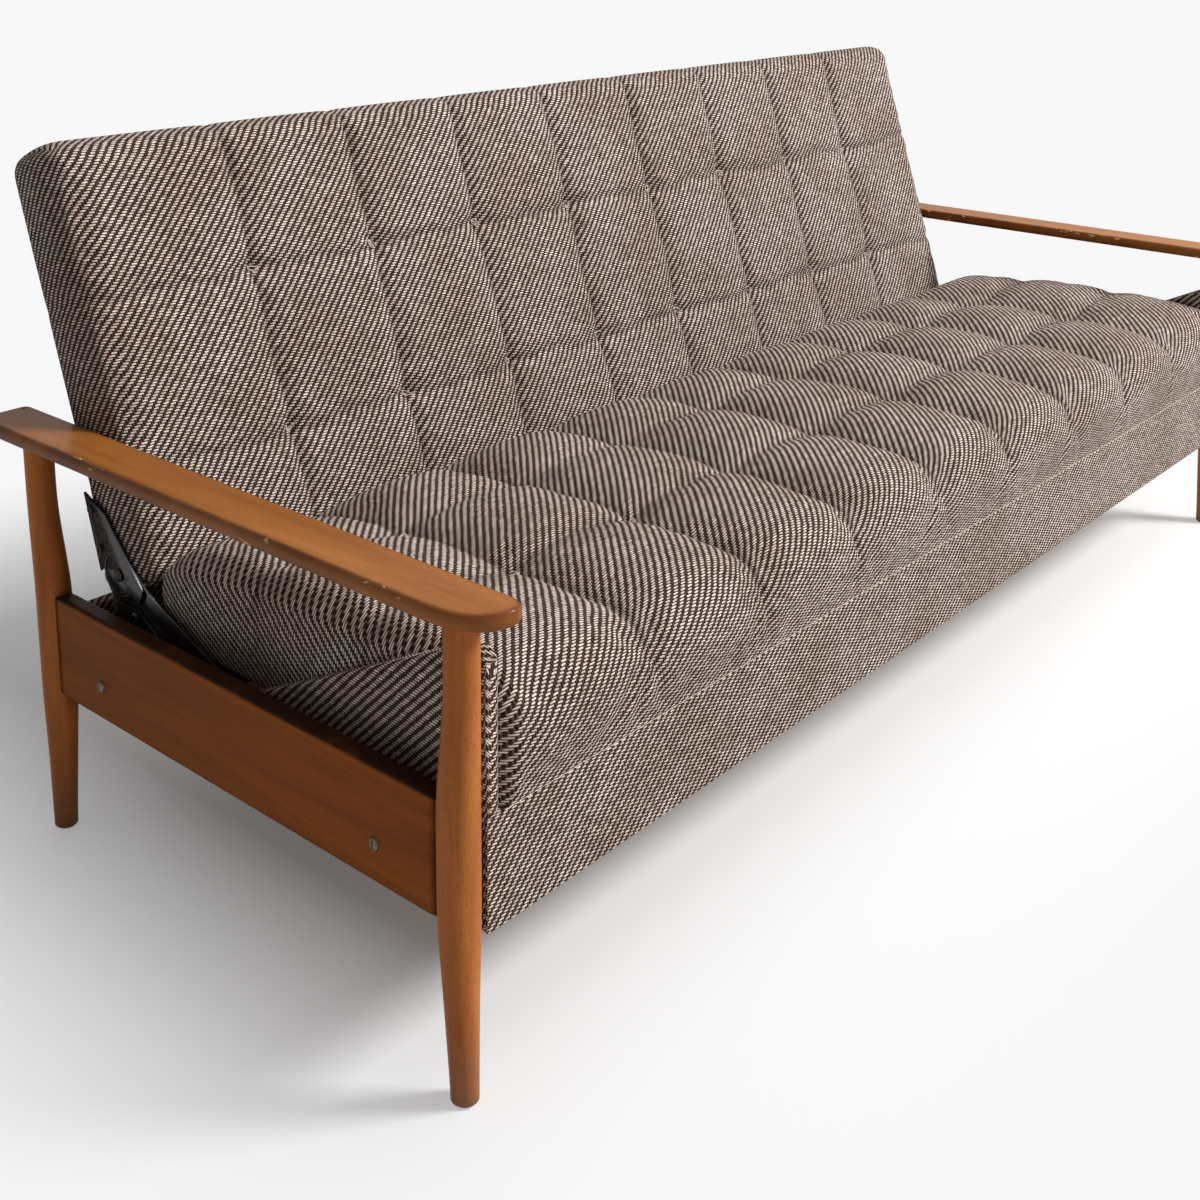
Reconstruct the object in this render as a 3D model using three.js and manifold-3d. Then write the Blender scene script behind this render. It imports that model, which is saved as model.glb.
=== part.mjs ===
// A click-clack sofa bed on an open beech frame. Lengths are in millimetres.
// +X runs along the seat, the front faces -Y and the feet stand on Z = 0.
// Pieces are laid out from the centre line of the front legs (Y = 0) and, across
// the sofa, by their depth in from the centre line of the left legs.

import * as THREE from 'three';
import { mergeVertices } from 'three/addons/utils/BufferGeometryUtils.js';
import Module from 'manifold-3d';

const wasm = await Module();
wasm.setup();

// Driving dimensions.
const legSpan = 2000;
const legDepth = 712;
const armHeight = 531;
const seatHeight = 410;
const seatThickness = 121.5;
const boxHeight = 124;
const backHeight = 537;
const backThickness = 97;
const backLean = 18.75;
const fullLean = 90;

// The box ends just ahead of the rear legs' centre line, and the seat stops short of it
// to leave room for the back's hinge.
const boxSet = 6;
const hingeRun = 158;
const boxDepth = legDepth - boxSet;
const seatDepth = boxDepth - hingeRun;

// Clearances shared by all pieces.
const gap = 0.3;
const turnGap = 0.35;
const overrun = 4;
const weld = 1e-4;

// How finely round things are drawn.
const legSides = 20;
const pinSides = 12;
const arcSteps = 8;

const half = legSpan / 2;
const boxTop = seatHeight - seatThickness - gap;
const boxBottom = boxTop - boxHeight;

const rail = {
  thickness: 22,
  outerInset: 12,
  height: 128,
  rise: 34.8,
  edge: 5,
  boltSet: 111,
};
rail.top = boxTop + rail.rise;
rail.bottom = rail.top - rail.height;
rail.inner = rail.thickness - rail.outerInset;

const leg = {
  footRadius: 14,
  footEdge: 3,
  shinRadius: 17.5,
  shinHeight: 105,
  kneeRadius: 21.5,
  neckRadius: 17.5,
  neckDrop: 85,
  kneeSet: 6,
  rearKneeSet: 9,
  rearTopSet: 4,
};

const armrest = {
  thickness: 18,
  inner: 32,
  outer: 34,
  noseReach: 53,
  noseSet: 6,
  shoulder: 22,
  tipRound: 20,
  rearReach: 80,
  rearRound: 16,
  edge: 4,
};
armrest.bottom = armHeight - armrest.thickness;

const box = {
  inset: 32.5,
  skin: 2.5,
  board: 12,
  frontBoard: 18,
  floor: 6,
  floorRaise: 3,
  bearerWidth: 60,
  bearerHeight: 16,
  endDrop: 9.4,
  rearRaise: 3.6,
  wingHeight: 175,
  wingFlat: 22,
  wingStop: 14,
  wingRound: 16,
  notchRun: 98,
  notchClear: 6,
};
box.endTop = boxTop - box.endDrop;
box.rearTop = boxTop + box.rearRaise;
box.boardOuter = box.inset + box.skin + gap;
box.boardInner = box.boardOuter + box.board;
box.skinInner = box.boardInner + gap + box.skin;

const spacer = {
  height: 50,
  start: 80,
  step: 24,
};

const seat = {
  front: 4,
  pitch: 209.1,
  inset: 52,
  puff: 30,
  frontPuff: 17,
  shoulderDrop: 32,
  rearEdge: 16,
  browDrop: 8,
  thirdDrop: 6,
  wall: 16,
  rows: 3,
};
seat.rowDepth = (seatDepth - seat.front) / seat.rows;
seat.bottom = boxTop + gap;

const back = {
  inset: 40,
  pitch: 204.3,
  puff: 24,
  rowHeight: 211.5,
  lowRow: 133,
  crown: 24,
  rearEdge: 12,
  endRound: 30,
  wall: 13,
  panel: 3,
  frameDepth: 30,
  rearLip: 5,
};

const timber = {
  width: 44,
  height: 31,
  crossAt: 310,
};

const hinge = {
  plate: 3.5,
  layerGap: 1,
  seatArmInset: 34.5,
  pin: 5,
  collar: 9,
  head: 8,
  headHeight: 3,
  faceOffset: 50,
  heelDrop: 20,
  parting: 4,
  seatPivotSet: 38,
  seatPivotDrop: 16,
  flangeReach: 95,
  flangeRun: 152,
};
hinge.flangeFront = seatDepth - hinge.flangeRun;
box.wingRun = hinge.flangeFront - box.wingStop;
hinge.backArmInset = hinge.seatArmInset - hinge.layerGap - hinge.plate;

// The turning axes, as points in the side view. The back turns clear of the seat's
// rear edge, and lies level with the seat when it is down.
const backPivot = {
  y: seatDepth + hinge.parting + Math.hypot(hinge.faceOffset, hinge.heelDrop),
  z: seatHeight - hinge.faceOffset,
};
const seatPivot = {
  y: boxDepth - hinge.seatPivotSet,
  z: box.rearTop - hinge.seatPivotDrop,
};

const detent = {
  sector: 32,
  cheek: 47,
  cheekStart: 190,
  cheekStop: 220,
  notchDepth: 2.2,
  notchHalfAngle: 13,
  nose: 4,
  noseAngle: 285,
  armLength: 42,
  boss: 9,
  pin: 4,
  tailLength: 36,
  tailDrop: 14,
  tailWidth: 5,
  pegDrop: 13,
  pegRadius: 2.2,
  pegReach: 8.5,
  anchorY: 44,
  anchorDrop: 26,
};

const spring = {
  wire: 0.7,
  coil: 4,
  curls: 10,
  hookGap: 0.5,
  axisOut: 5.5,
};

const bolt = {
  shank: 3,
  head: 7,
  headHeight: 3.5,
  slot: 1.4,
  slotDepth: 1.2,
};

const screw = {
  shank: 2.5,
  head: 5.5,
  headHeight: 2.4,
  length: 16,
  lowShare: 0.1,
  highShare: 0.19,
};

const beech = { color: 0xb5692c, roughness: 0.35, metalness: 0 };
const pine = { color: 0xd9b98a, roughness: 0.7, metalness: 0 };
const hardboard = { color: 0x7a5637, roughness: 0.8, metalness: 0 };
const twill = { color: 0x8a7a6e, roughness: 0.95, metalness: 0 };
const enamel = { color: 0x17171a, roughness: 0.3, metalness: 0.4 };
const steel = { color: 0x9a958c, roughness: 0.35, metalness: 1 };
const springSteel = { color: 0x6d6b68, roughness: 0.3, metalness: 1 };

// Geometry helpers.

function closed(geometry) {
  const bare = geometry.clone();
  bare.deleteAttribute('normal');
  bare.deleteAttribute('uv');
  return mergeVertices(bare, weld);
}

function toSolid(geometry) {
  const bare = closed(geometry);
  return new wasm.Manifold(new wasm.Mesh({
    numProp: 3,
    vertProperties: new Float32Array(bare.attributes.position.array),
    triVerts: new Uint32Array(bare.index.array),
  }));
}

function toGeometry(solid) {
  const mesh = solid.getMesh();
  const geometry = new THREE.BufferGeometry();
  geometry.setAttribute('position', new THREE.BufferAttribute(new Float32Array(mesh.vertProperties), 3));
  geometry.setIndex(new THREE.BufferAttribute(new Uint32Array(mesh.triVerts), 1));
  return geometry;
}

function cut(geometry, ...tools) {
  return toGeometry(tools.reduce((rest, tool) => rest.subtract(toSolid(tool)), toSolid(geometry)));
}

function join(geometry, ...others) {
  return toGeometry(others.reduce((whole, other) => whole.add(toSolid(other)), toSolid(geometry)));
}

function mirrored(geometry) {
  const other = closed(geometry);
  other.applyMatrix4(new THREE.Matrix4().makeScale(-1, 1, 1));
  const index = other.index.array;
  for (let corner = 0; corner < index.length; corner += 3) {
    [index[corner + 1], index[corner + 2]] = [index[corner + 2], index[corner + 1]];
  }
  return other;
}

// A block between two corners.
function block(low, high) {
  const size = high.map((value, axis) => value - low[axis]);
  const middle = high.map((value, axis) => (value + low[axis]) / 2);
  return new THREE.BoxGeometry(...size).translate(...middle);
}

// A block given by its depth in from the left legs and by its side view.
function sideBlock(inset, thickness, lowY, highY, lowZ, highZ) {
  return block([inset - half, lowY, lowZ], [inset - half + thickness, highY, highZ]);
}

// A side-view outline given thickness along X.
function sidePlate(shape, inset, thickness) {
  const geometry = new THREE.ExtrudeGeometry(shape, {
    depth: thickness,
    bevelEnabled: false,
    curveSegments: arcSteps,
  });
  geometry.applyMatrix4(new THREE.Matrix4().makeBasis(
    new THREE.Vector3(0, 1, 0),
    new THREE.Vector3(0, 0, 1),
    new THREE.Vector3(1, 0, 0),
  ));
  return geometry.translate(inset - half, 0, 0);
}

// A turned piece lying along X. The profile lists [inset, radius] from outside in.
function turned(profile, y, z, sides = pinSides) {
  const points = [
    new THREE.Vector2(0, profile[0][0]),
    ...profile.map(([inset, radius]) => new THREE.Vector2(radius, inset)),
    new THREE.Vector2(0, profile[profile.length - 1][0]),
  ];
  const geometry = new THREE.LatheGeometry(points, sides);
  geometry.applyMatrix4(new THREE.Matrix4().makeBasis(
    new THREE.Vector3(0, 1, 0),
    new THREE.Vector3(1, 0, 0),
    new THREE.Vector3(0, 0, -1),
  ));
  return geometry.translate(-half, y, z);
}

function sideHole(shape, y, z, radius) {
  const hole = new THREE.Path();
  hole.absarc(y, z, radius, 0, Math.PI * 2, true);
  shape.holes.push(hole);
}

// A closed skin over a stack of closed sections with equally many points.
function skinOver(sections) {
  const count = sections[0].length;
  const positions = sections.flat().flatMap((point) => [point.x, point.y, point.z]);
  const index = [];
  for (let row = 0; row + 1 < sections.length; row += 1) {
    for (let side = 0; side < count; side += 1) {
      const next = (side + 1) % count;
      const here = row * count;
      const above = here + count;
      index.push(here + side, here + next, above + next);
      index.push(here + side, above + next, above + side);
    }
  }
  const ends = [[0, true], [sections.length - 1, false]];
  for (const [row, flipped] of ends) {
    const centre = sections[row].reduce((sum, point) => sum.add(point), new THREE.Vector3());
    centre.divideScalar(count);
    const middle = positions.length / 3;
    positions.push(centre.x, centre.y, centre.z);
    for (let side = 0; side < count; side += 1) {
      const here = row * count + side;
      const next = row * count + ((side + 1) % count);
      index.push(middle, flipped ? next : here, flipped ? here : next);
    }
  }
  const geometry = new THREE.BufferGeometry();
  geometry.setAttribute('position', new THREE.Float32BufferAttribute(positions, 3));
  geometry.setIndex(index);
  return geometry;
}

const sofa = new THREE.Group();

function add(name, geometry, finish) {
  const body = closed(geometry);
  body.computeVertexNormals();
  const mesh = new THREE.Mesh(body, new THREE.MeshStandardMaterial(finish));
  mesh.name = name;
  sofa.add(mesh);
}

function addPair(name, geometry, finish) {
  add(`${name}_left`, geometry, finish);
  add(`${name}_right`, mirrored(geometry), finish);
}

// Legs: turned posts that swell towards the side rail at its height.

const frontLeg = { y: 0, kneeSet: leg.kneeSet, topSet: 0 };
const rearLeg = { y: legDepth, kneeSet: -leg.rearKneeSet, topSet: leg.rearTopSet };

function legSolid(post, grow) {
  const shinShare = 0.6;
  const stations = [
    [0, leg.footRadius - leg.footEdge, 0],
    [leg.footEdge, leg.footRadius, 0],
    [leg.shinHeight, leg.shinRadius, post.kneeSet * shinShare],
    [rail.bottom, leg.kneeRadius, post.kneeSet],
    [rail.top, leg.kneeRadius, post.kneeSet],
    [armrest.bottom - leg.neckDrop, leg.neckRadius, post.topSet],
    [armrest.bottom - gap, leg.neckRadius, post.topSet],
  ];
  const [sole, rim, ...rest] = stations.map(([z, radius, set]) => new THREE.Vector3(set, radius, z));
  const curve = new THREE.CatmullRomCurve3([rim, ...rest], false, 'centripetal');
  const centres = [sole, ...curve.getPoints(legSides / 2)];
  return skinOver(centres.map(({ x: set, y: radius, z }) => {
    const ring = [];
    for (let side = 0; side < legSides; side += 1) {
      const angle = (side / legSides) * Math.PI * 2;
      ring.push(new THREE.Vector3(
        -half + (radius + grow) * Math.cos(angle),
        post.y + set + (radius + grow) * Math.sin(angle),
        z,
      ));
    }
    return ring;
  }));
}

addPair('front_leg', legSolid(frontLeg, 0), beech);
addPair('rear_leg', legSolid(rearLeg, 0), beech);

// Armrests: flat boards with eased edges, swept in at the outer front corner.

function armrestSolid() {
  const inner = armrest.inner - armrest.edge - half;
  const outer = -armrest.outer + armrest.edge - half;
  const rear = legDepth + armrest.rearReach - armrest.edge;
  const nose = -armrest.noseReach + armrest.edge;
  const plan = new THREE.Shape();
  plan.moveTo(inner, nose + armrest.tipRound);
  plan.lineTo(inner, rear - armrest.edge);
  plan.quadraticCurveTo(inner, rear, inner - armrest.edge, rear);
  plan.lineTo(outer + armrest.rearRound, rear);
  plan.quadraticCurveTo(outer, rear, outer, rear - armrest.rearRound);
  plan.lineTo(outer, armrest.shoulder);
  plan.quadraticCurveTo(outer, nose + armrest.noseSet, -half + armrest.noseSet, nose);
  plan.quadraticCurveTo(inner, nose - armrest.edge, inner, nose + armrest.tipRound);
  const geometry = new THREE.ExtrudeGeometry(plan, {
    depth: armrest.thickness - armrest.edge * 2,
    bevelThickness: armrest.edge,
    bevelSize: armrest.edge,
    bevelSegments: 2,
    curveSegments: arcSteps,
  });
  return geometry.translate(0, 0, armrest.bottom + armrest.edge);
}

addPair('armrest', armrestSolid(), beech);

// Side rails, scribed to the legs, and the bolts that hold the box to them.

const frontBolt = { y: rail.boltSet, z: rail.top - rail.height * 2 / 3 };
const rearBolt = { y: legDepth - rail.boltSet - spacer.step / 2, z: frontBolt.z };

function boltHole(place, radius = bolt.shank + gap) {
  return turned([[-half, radius], [half / 2, radius]], place.y, place.z, pinSides);
}

function railSolid() {
  const outer = -rail.outerInset;
  const section = new THREE.Shape();
  section.moveTo(outer, rail.bottom);
  section.lineTo(rail.inner, rail.bottom);
  section.lineTo(rail.inner, rail.top);
  section.lineTo(outer + rail.edge, rail.top);
  section.quadraticCurveTo(outer, rail.top, outer, rail.top - rail.edge);
  const geometry = new THREE.ExtrudeGeometry(section, {
    depth: legDepth,
    bevelEnabled: false,
    curveSegments: arcSteps / 2,
  });
  geometry.applyMatrix4(new THREE.Matrix4().makeBasis(
    new THREE.Vector3(1, 0, 0),
    new THREE.Vector3(0, 0, 1),
    new THREE.Vector3(0, -1, 0),
  ));
  geometry.translate(-half, legDepth, 0);
  const pivotHole = turned([
    [rail.inner - hinge.pin * 2, hinge.pin + gap],
    [rail.inner + overrun, hinge.pin + gap],
  ], seatPivot.y, seatPivot.z);
  return cut(
    geometry,
    legSolid(frontLeg, gap),
    legSolid(rearLeg, gap),
    boltHole(frontBolt),
    boltHole(rearBolt),
    pivotHole,
  );
}

addPair('side_rail', railSolid(), beech);

function boltSolid(place) {
  const face = -rail.outerInset - gap;
  const tip = box.boardInner;
  const crownShare = 0.6;
  const shoulderShare = 0.9;
  const body = turned([
    [face - bolt.headHeight, bolt.head * crownShare],
    [face - bolt.headHeight * crownShare, bolt.head * shoulderShare],
    [face, bolt.head],
    [face, bolt.shank],
    [tip, bolt.shank],
  ], place.y, place.z);
  const slot = sideBlock(
    face - bolt.headHeight - overrun,
    overrun + bolt.slotDepth,
    place.y - bolt.slot / 2,
    place.y + bolt.slot / 2,
    place.z - bolt.head - overrun,
    place.z + bolt.head + overrun,
  );
  return cut(body, slot);
}

addPair('rail_bolt_front', boltSolid(frontBolt), steel);
addPair('rail_bolt_rear', boltSolid(rearBolt), steel);

// Hinge brackets behind the rails, and the spacers that fill out to the box.

const bracketFront = rearBolt.y - spacer.step;

function spacerSolid() {
  const low = frontBolt.z - spacer.height / 2;
  const high = frontBolt.z + spacer.height / 2;
  const start = rail.inner + gap;
  const stop = box.inset - gap;
  const thick = sideBlock(start, stop - start, spacer.start, bracketFront - gap, low, high);
  const thinStart = start + hinge.plate + gap;
  const thin = sideBlock(thinStart, stop - thinStart, spacer.start, rearBolt.y + spacer.step, low, high);
  return cut(join(thick, thin), boltHole(frontBolt), boltHole(rearBolt));
}

addPair('rail_spacer', spacerSolid(), pine);

function bracketSolid() {
  const low = rearBolt.z - spacer.height / 2;
  const high = rearBolt.z + spacer.height / 2;
  const bossRadius = hinge.collar + hinge.plate;
  const outline = new THREE.Shape();
  outline.moveTo(bracketFront, low);
  outline.lineTo(seatPivot.y, low);
  outline.lineTo(seatPivot.y + bossRadius, high);
  outline.lineTo(seatPivot.y + bossRadius, seatPivot.z);
  outline.absarc(seatPivot.y, seatPivot.z, bossRadius, 0, Math.PI, false);
  outline.lineTo(bracketFront, high);
  sideHole(outline, seatPivot.y, seatPivot.z, hinge.pin + gap);
  sideHole(outline, rearBolt.y, rearBolt.z, bolt.shank + gap);
  return sidePlate(outline, rail.inner + gap, hinge.plate);
}

addPair('hinge_bracket', bracketSolid(), enamel);

const seatPin = turned([
  [rail.inner - hinge.pin, hinge.pin],
  [rail.inner + gap + hinge.plate + gap, hinge.pin],
  [rail.inner + gap + hinge.plate + gap, hinge.collar],
  [hinge.seatArmInset - gap, hinge.collar],
  [hinge.seatArmInset - gap, hinge.pin],
  [hinge.seatArmInset + hinge.plate + gap, hinge.pin],
], seatPivot.y, seatPivot.z);

addPair('seat_pivot_pin', seatPin, steel);

// Bedding box: boards, floor, and the fabric that covers them.

function endOutline(grow, low, rearRun = 0) {
  const slope = Math.hypot(box.wingHeight, box.wingRun) / box.wingRun;
  const rise = grow * slope;
  const front = box.skin + gap - grow;
  const rear = boxDepth - box.skin - box.frontBoard - gap * 2 + rearRun;
  const wingTop = box.endTop + box.wingHeight + rise;
  const outline = new THREE.Shape();
  const notchFront = boxDepth - box.notchRun + grow;
  const notchLow = seatPivot.z - hinge.collar - hinge.plate - box.notchClear + grow;
  outline.moveTo(front, low);
  outline.lineTo(rear, low);
  outline.lineTo(rear, notchLow);
  outline.lineTo(notchFront, notchLow);
  outline.lineTo(notchFront, box.endTop + grow);
  outline.lineTo(box.wingRun, box.endTop + grow);
  outline.lineTo(box.wingFlat + box.wingRound, wingTop);
  outline.quadraticCurveTo(front, wingTop + box.wingRound, front, wingTop - box.wingRound);
  return outline;
}

function endBoardSolid() {
  const board = sidePlate(endOutline(0, boxBottom + box.skin), box.boardOuter, box.board);
  return cut(board, boltHole(frontBolt), boltHole(rearBolt));
}

function endCoverSolid() {
  const grow = box.skin + gap;
  const outer = sidePlate(endOutline(grow, boxBottom), box.inset, box.skinInner - box.inset);
  const hollow = sidePlate(
    endOutline(gap, boxBottom - overrun, overrun),
    box.boardOuter - gap,
    box.board + gap * 2,
  );
  const frontSlot = sideBlock(
    0,
    box.skinInner + overrun,
    -overrun,
    box.skin + gap,
    boxBottom - overrun,
    boxTop + gap,
  );
  const innerSkin = sideBlock(
    box.boardInner + gap / 2,
    box.skin + overrun,
    -overrun,
    boxDepth,
    boxBottom - overrun,
    boxTop + gap,
  );
  return cut(outer, hollow, frontSlot, innerSkin, boltHole(frontBolt), boltHole(rearBolt));
}

addPair('box_end_board', endBoardSolid(), pine);
addPair('box_end_cover', endCoverSolid(), twill);

const insideHalf = half - box.boardInner - gap;
const frontBoardRear = box.skin + gap + box.frontBoard;
const rearBoardFront = boxDepth - box.skin - gap - box.frontBoard;
const boardBottom = boxBottom + box.skin;

add('box_front_board', block(
  [-insideHalf, box.skin + gap, boardBottom],
  [insideHalf, frontBoardRear, boxTop - box.skin - gap],
), pine);

const topReturnHalf = half - box.skinInner - gap;
const frontFace = block([box.inset - half, 0, boxBottom], [half - box.inset, box.skin, boxTop]);
const frontReturn = block(
  [-topReturnHalf, box.skin / 2, boxTop - box.skin],
  [topReturnHalf, frontBoardRear, boxTop],
);
add('box_front_cover', join(frontFace, frontReturn), twill);

const rearBoardHalf = half - box.boardOuter;
add('box_rear_board', block(
  [-rearBoardHalf, rearBoardFront, boardBottom],
  [rearBoardHalf, rearBoardFront + box.frontBoard, box.rearTop - box.skin - gap],
), pine);

const rearShell = block(
  [box.inset - half, rearBoardFront, boxBottom],
  [half - box.inset, boxDepth, box.rearTop],
);
const rearHollow = block(
  [-rearBoardHalf - gap, rearBoardFront - overrun, boxBottom - overrun],
  [rearBoardHalf + gap, rearBoardFront + box.frontBoard + gap, box.rearTop - box.skin],
);
add('box_rear_cover', cut(rearShell, rearHollow), twill);

const floorLow = boardBottom + box.floorRaise;
add('box_floor', block(
  [-insideHalf, frontBoardRear + gap, floorLow],
  [insideHalf, rearBoardFront - gap, floorLow + box.floor],
), hardboard);
add('floor_bearer', block(
  [-box.bearerWidth / 2, frontBoardRear + gap, floorLow + box.floor + gap],
  [box.bearerWidth / 2, rearBoardFront - gap, floorLow + box.floor + gap + box.bearerHeight],
), pine);

// Tufted cushions. A profile is a chain of segments in the side view, from the
// lower front edge over the top to the rear. Each segment swells by its puff, and
// the swelling drops to the profile along the column seams and at the tufts.

const seams = 8;

function swell(share) {
  const fullness = 0.6;
  return Math.sin(Math.PI * share) ** fullness;
}

function profilePoints(segments) {
  const points = [];
  for (const { from, to, puff, steps } of segments) {
    const length = Math.hypot(to[0] - from[0], to[1] - from[1]);
    const out = [-(to[1] - from[1]) / length, (to[0] - from[0]) / length];
    for (let step = 0; step < steps; step += 1) {
      const share = step / steps;
      points.push({
        depth: from[0] + (to[0] - from[0]) * share,
        height: from[1] + (to[1] - from[1]) * share,
        out,
        puff,
        rowSwell: share > 0 ? swell(share) : 0,
      });
    }
  }
  const last = segments[segments.length - 1];
  points.push({ depth: last.to[0], height: last.to[1], out: [0, 0], puff: 0, rowSwell: 0 });
  return points;
}

function columnStations(halfLength, pitch) {
  const edges = [-halfLength];
  for (let seam = 0; seam < seams; seam += 1) {
    edges.push((seam - (seams - 1) / 2) * pitch);
  }
  edges.push(halfLength);
  const columnSteps = 5;
  const stations = [];
  for (let column = 0; column + 1 < edges.length; column += 1) {
    for (let step = 0; step < columnSteps; step += 1) {
      const share = step / columnSteps;
      stations.push({
        x: edges[column] + (edges[column + 1] - edges[column]) * share,
        columnSwell: share > 0 ? swell(share) : 0,
      });
    }
  }
  stations.push({ x: halfLength, columnSwell: 0 });
  return stations;
}

function tuftedCushion({ segments, halfLength, pitch, endRound, rearRound }) {
  const profile = profilePoints(segments);
  const heights = profile.map((point) => point.height);
  const depths = profile.map((point) => point.depth);
  const low = Math.min(...heights);
  const high = Math.max(...heights);
  const front = Math.min(...depths);
  const reach = Math.max(...depths) - front;
  const seamShare = 0.45;
  const sectionAt = (x, columnSwell, shrink) => profile.map((point) => {
    const along = (1 - seamShare) * columnSwell * point.rowSwell
      + seamShare * (columnSwell + point.rowSwell) / 2;
    const edgeless = point.puff > 0 ? along : 0;
    const depth = point.depth + point.out[0] * point.puff * edgeless;
    const height = point.height + point.out[1] * point.puff * edgeless;
    return new THREE.Vector3(
      x,
      front + shrink + (depth - front) * (1 - (shrink * (1 + rearRound / endRound)) / reach),
      low + (height - low) * (1 - shrink / (high - low)),
    );
  });
  const stations = columnStations(halfLength - endRound, pitch);
  const quarterShare = 0.3;
  const sections = [
    sectionAt(-halfLength, 0, endRound),
    sectionAt(-halfLength + endRound * quarterShare, 0, endRound * quarterShare),
    ...stations.map(({ x, columnSwell }) => sectionAt(x, columnSwell, 0)),
    sectionAt(halfLength - endRound * quarterShare, 0, endRound * quarterShare),
    sectionAt(halfLength, 0, endRound),
  ];
  return skinOver(sections.reverse());
}

const seatHalf = half - seat.inset;
const seatRow = (row) => seat.front + seat.rowDepth * row;
const seatShoulder = { y: seatDepth - seat.rearEdge, z: seatHeight - seat.shoulderDrop };

// Seat frame: rails let into the underside of the padding.

const seatFrame = {
  halfX: seatHalf - seat.wall - gap,
  front: seat.front + seat.wall + gap,
  rear: seatDepth - seat.wall - gap,
  low: seat.bottom,
  high: seat.bottom + timber.height,
};
seatFrame.innerFront = seatFrame.front + timber.width + gap;
seatFrame.innerRear = seatFrame.rear - timber.width - gap;

const endRailRun = [-seatFrame.halfX, timber.width - seatFrame.halfX];
const crossRailRun = [-timber.crossAt - timber.width / 2, timber.width / 2 - timber.crossAt];

function seatTimber([lowX, highX], lowY, highY) {
  return block([lowX, lowY, seatFrame.low], [highX, highY, seatFrame.high]);
}

// The recess for the frame, with the padding left between its rails.
function seatRecess() {
  const whole = block(
    [-seatFrame.halfX - gap, seatFrame.front - gap, seatFrame.low - overrun],
    [seatFrame.halfX + gap, seatFrame.rear + gap, seatFrame.high + gap],
  );
  const bay = (lowX, highX) => block(
    [lowX, seatFrame.innerFront, seatFrame.low - overrun * 2],
    [highX, seatFrame.innerRear, seatFrame.high + overrun],
  );
  const endBay = bay(endRailRun[1] + gap, crossRailRun[0] - gap);
  const middleBay = bay(crossRailRun[1] + gap, -crossRailRun[1] - gap);
  return cut(whole, endBay, mirrored(endBay), middleBay);
}

function seatCushionSolid() {
  const brow = [seat.front, seatHeight - seat.browDrop];
  const second = [seatRow(1), seatHeight];
  const third = [seatRow(2), seatHeight - seat.thirdDrop];
  const shoulder = [seatShoulder.y, seatShoulder.z];
  const heel = [seatDepth, seatShoulder.z - seat.rearEdge * 2];
  const segments = [
    { from: [seat.front, seat.bottom], to: brow, puff: seat.frontPuff, steps: 4 },
    { from: brow, to: second, puff: seat.puff, steps: 5 },
    { from: second, to: third, puff: seat.puff, steps: 5 },
    { from: third, to: shoulder, puff: seat.puff, steps: 4 },
    { from: shoulder, to: heel, puff: 0, steps: 1 },
    { from: heel, to: [seatDepth, seat.bottom], puff: 0, steps: 1 },
  ];
  const cushion = tuftedCushion({
    segments, halfLength: seatHalf, pitch: seat.pitch, endRound: seat.wall, rearRound: seat.wall,
  });
  return cut(cushion, seatRecess());
}

add('seat_cushion', seatCushionSolid(), twill);

const seatLength = [-seatFrame.halfX, seatFrame.halfX];
const seatRun = [seatFrame.innerFront, seatFrame.innerRear];
add('seat_frame_front', seatTimber(seatLength, seatFrame.front, seatFrame.front + timber.width), pine);
add('seat_frame_rear', seatTimber(seatLength, seatFrame.rear - timber.width, seatFrame.rear), pine);
addPair('seat_frame_end', seatTimber(endRailRun, ...seatRun), pine);
addPair('seat_cross_rail', seatTimber(crossRailRun, ...seatRun), pine);

// Back: cushion, frame and rear panel, built upright with its face on Y = 0 and its
// lower edge on Z = 0, then leaned back on its pivots.

const lean = THREE.MathUtils.degToRad(backLean);
const leanBack = new THREE.Matrix4().makeRotationX(-lean);
const backFoot = new THREE.Vector3(0, -hinge.faceOffset, -hinge.heelDrop).applyMatrix4(leanBack);

function leaned(geometry) {
  return geometry.applyMatrix4(leanBack).translate(0, backPivot.y + backFoot.y, backPivot.z + backFoot.z);
}

function leanedPoint(depth, height) {
  const point = new THREE.Vector3(0, depth - hinge.faceOffset, height - hinge.heelDrop);
  point.applyMatrix4(leanBack);
  return { y: backPivot.y + point.y, z: backPivot.z + point.z };
}

const backHalf = half - back.inset;
const backFrame = {
  halfX: backHalf - back.wall - gap,
  low: back.wall + gap,
  high: backHeight - back.wall - gap,
  rear: backThickness - back.rearLip,
};
backFrame.front = backFrame.rear - back.panel - gap - back.frameDepth;
backFrame.bottomRail = backFrame.low + timber.width / 2;
backFrame.topRail = backFrame.high - timber.width;
backFrame.innerLow = backFrame.bottomRail + gap;
backFrame.innerHigh = backFrame.topRail - gap;

const armScrews = [screw.lowShare, screw.highShare].map((share) => leanedPoint(
  backFrame.front + back.frameDepth * 2 / 3,
  backHeight * share,
));

const backEndRun = [-backFrame.halfX, timber.width - backFrame.halfX];
const backPostRun = [-timber.width / 2, timber.width / 2];

function backTimber([lowX, highX], low, high) {
  return leaned(block(
    [lowX, backFrame.front, low],
    [highX, backFrame.front + back.frameDepth, high],
  ));
}

function backRecess() {
  const whole = block(
    [-backFrame.halfX - gap, backFrame.front - gap, backFrame.low - gap],
    [backFrame.halfX + gap, backThickness + overrun, backFrame.high + gap],
  );
  const bay = block(
    [backEndRun[1] + gap, backFrame.front - overrun, backFrame.innerLow],
    [backPostRun[0] - gap, backFrame.front + back.frameDepth, backFrame.innerHigh],
  );
  return cut(whole, bay, mirrored(bay));
}

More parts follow.
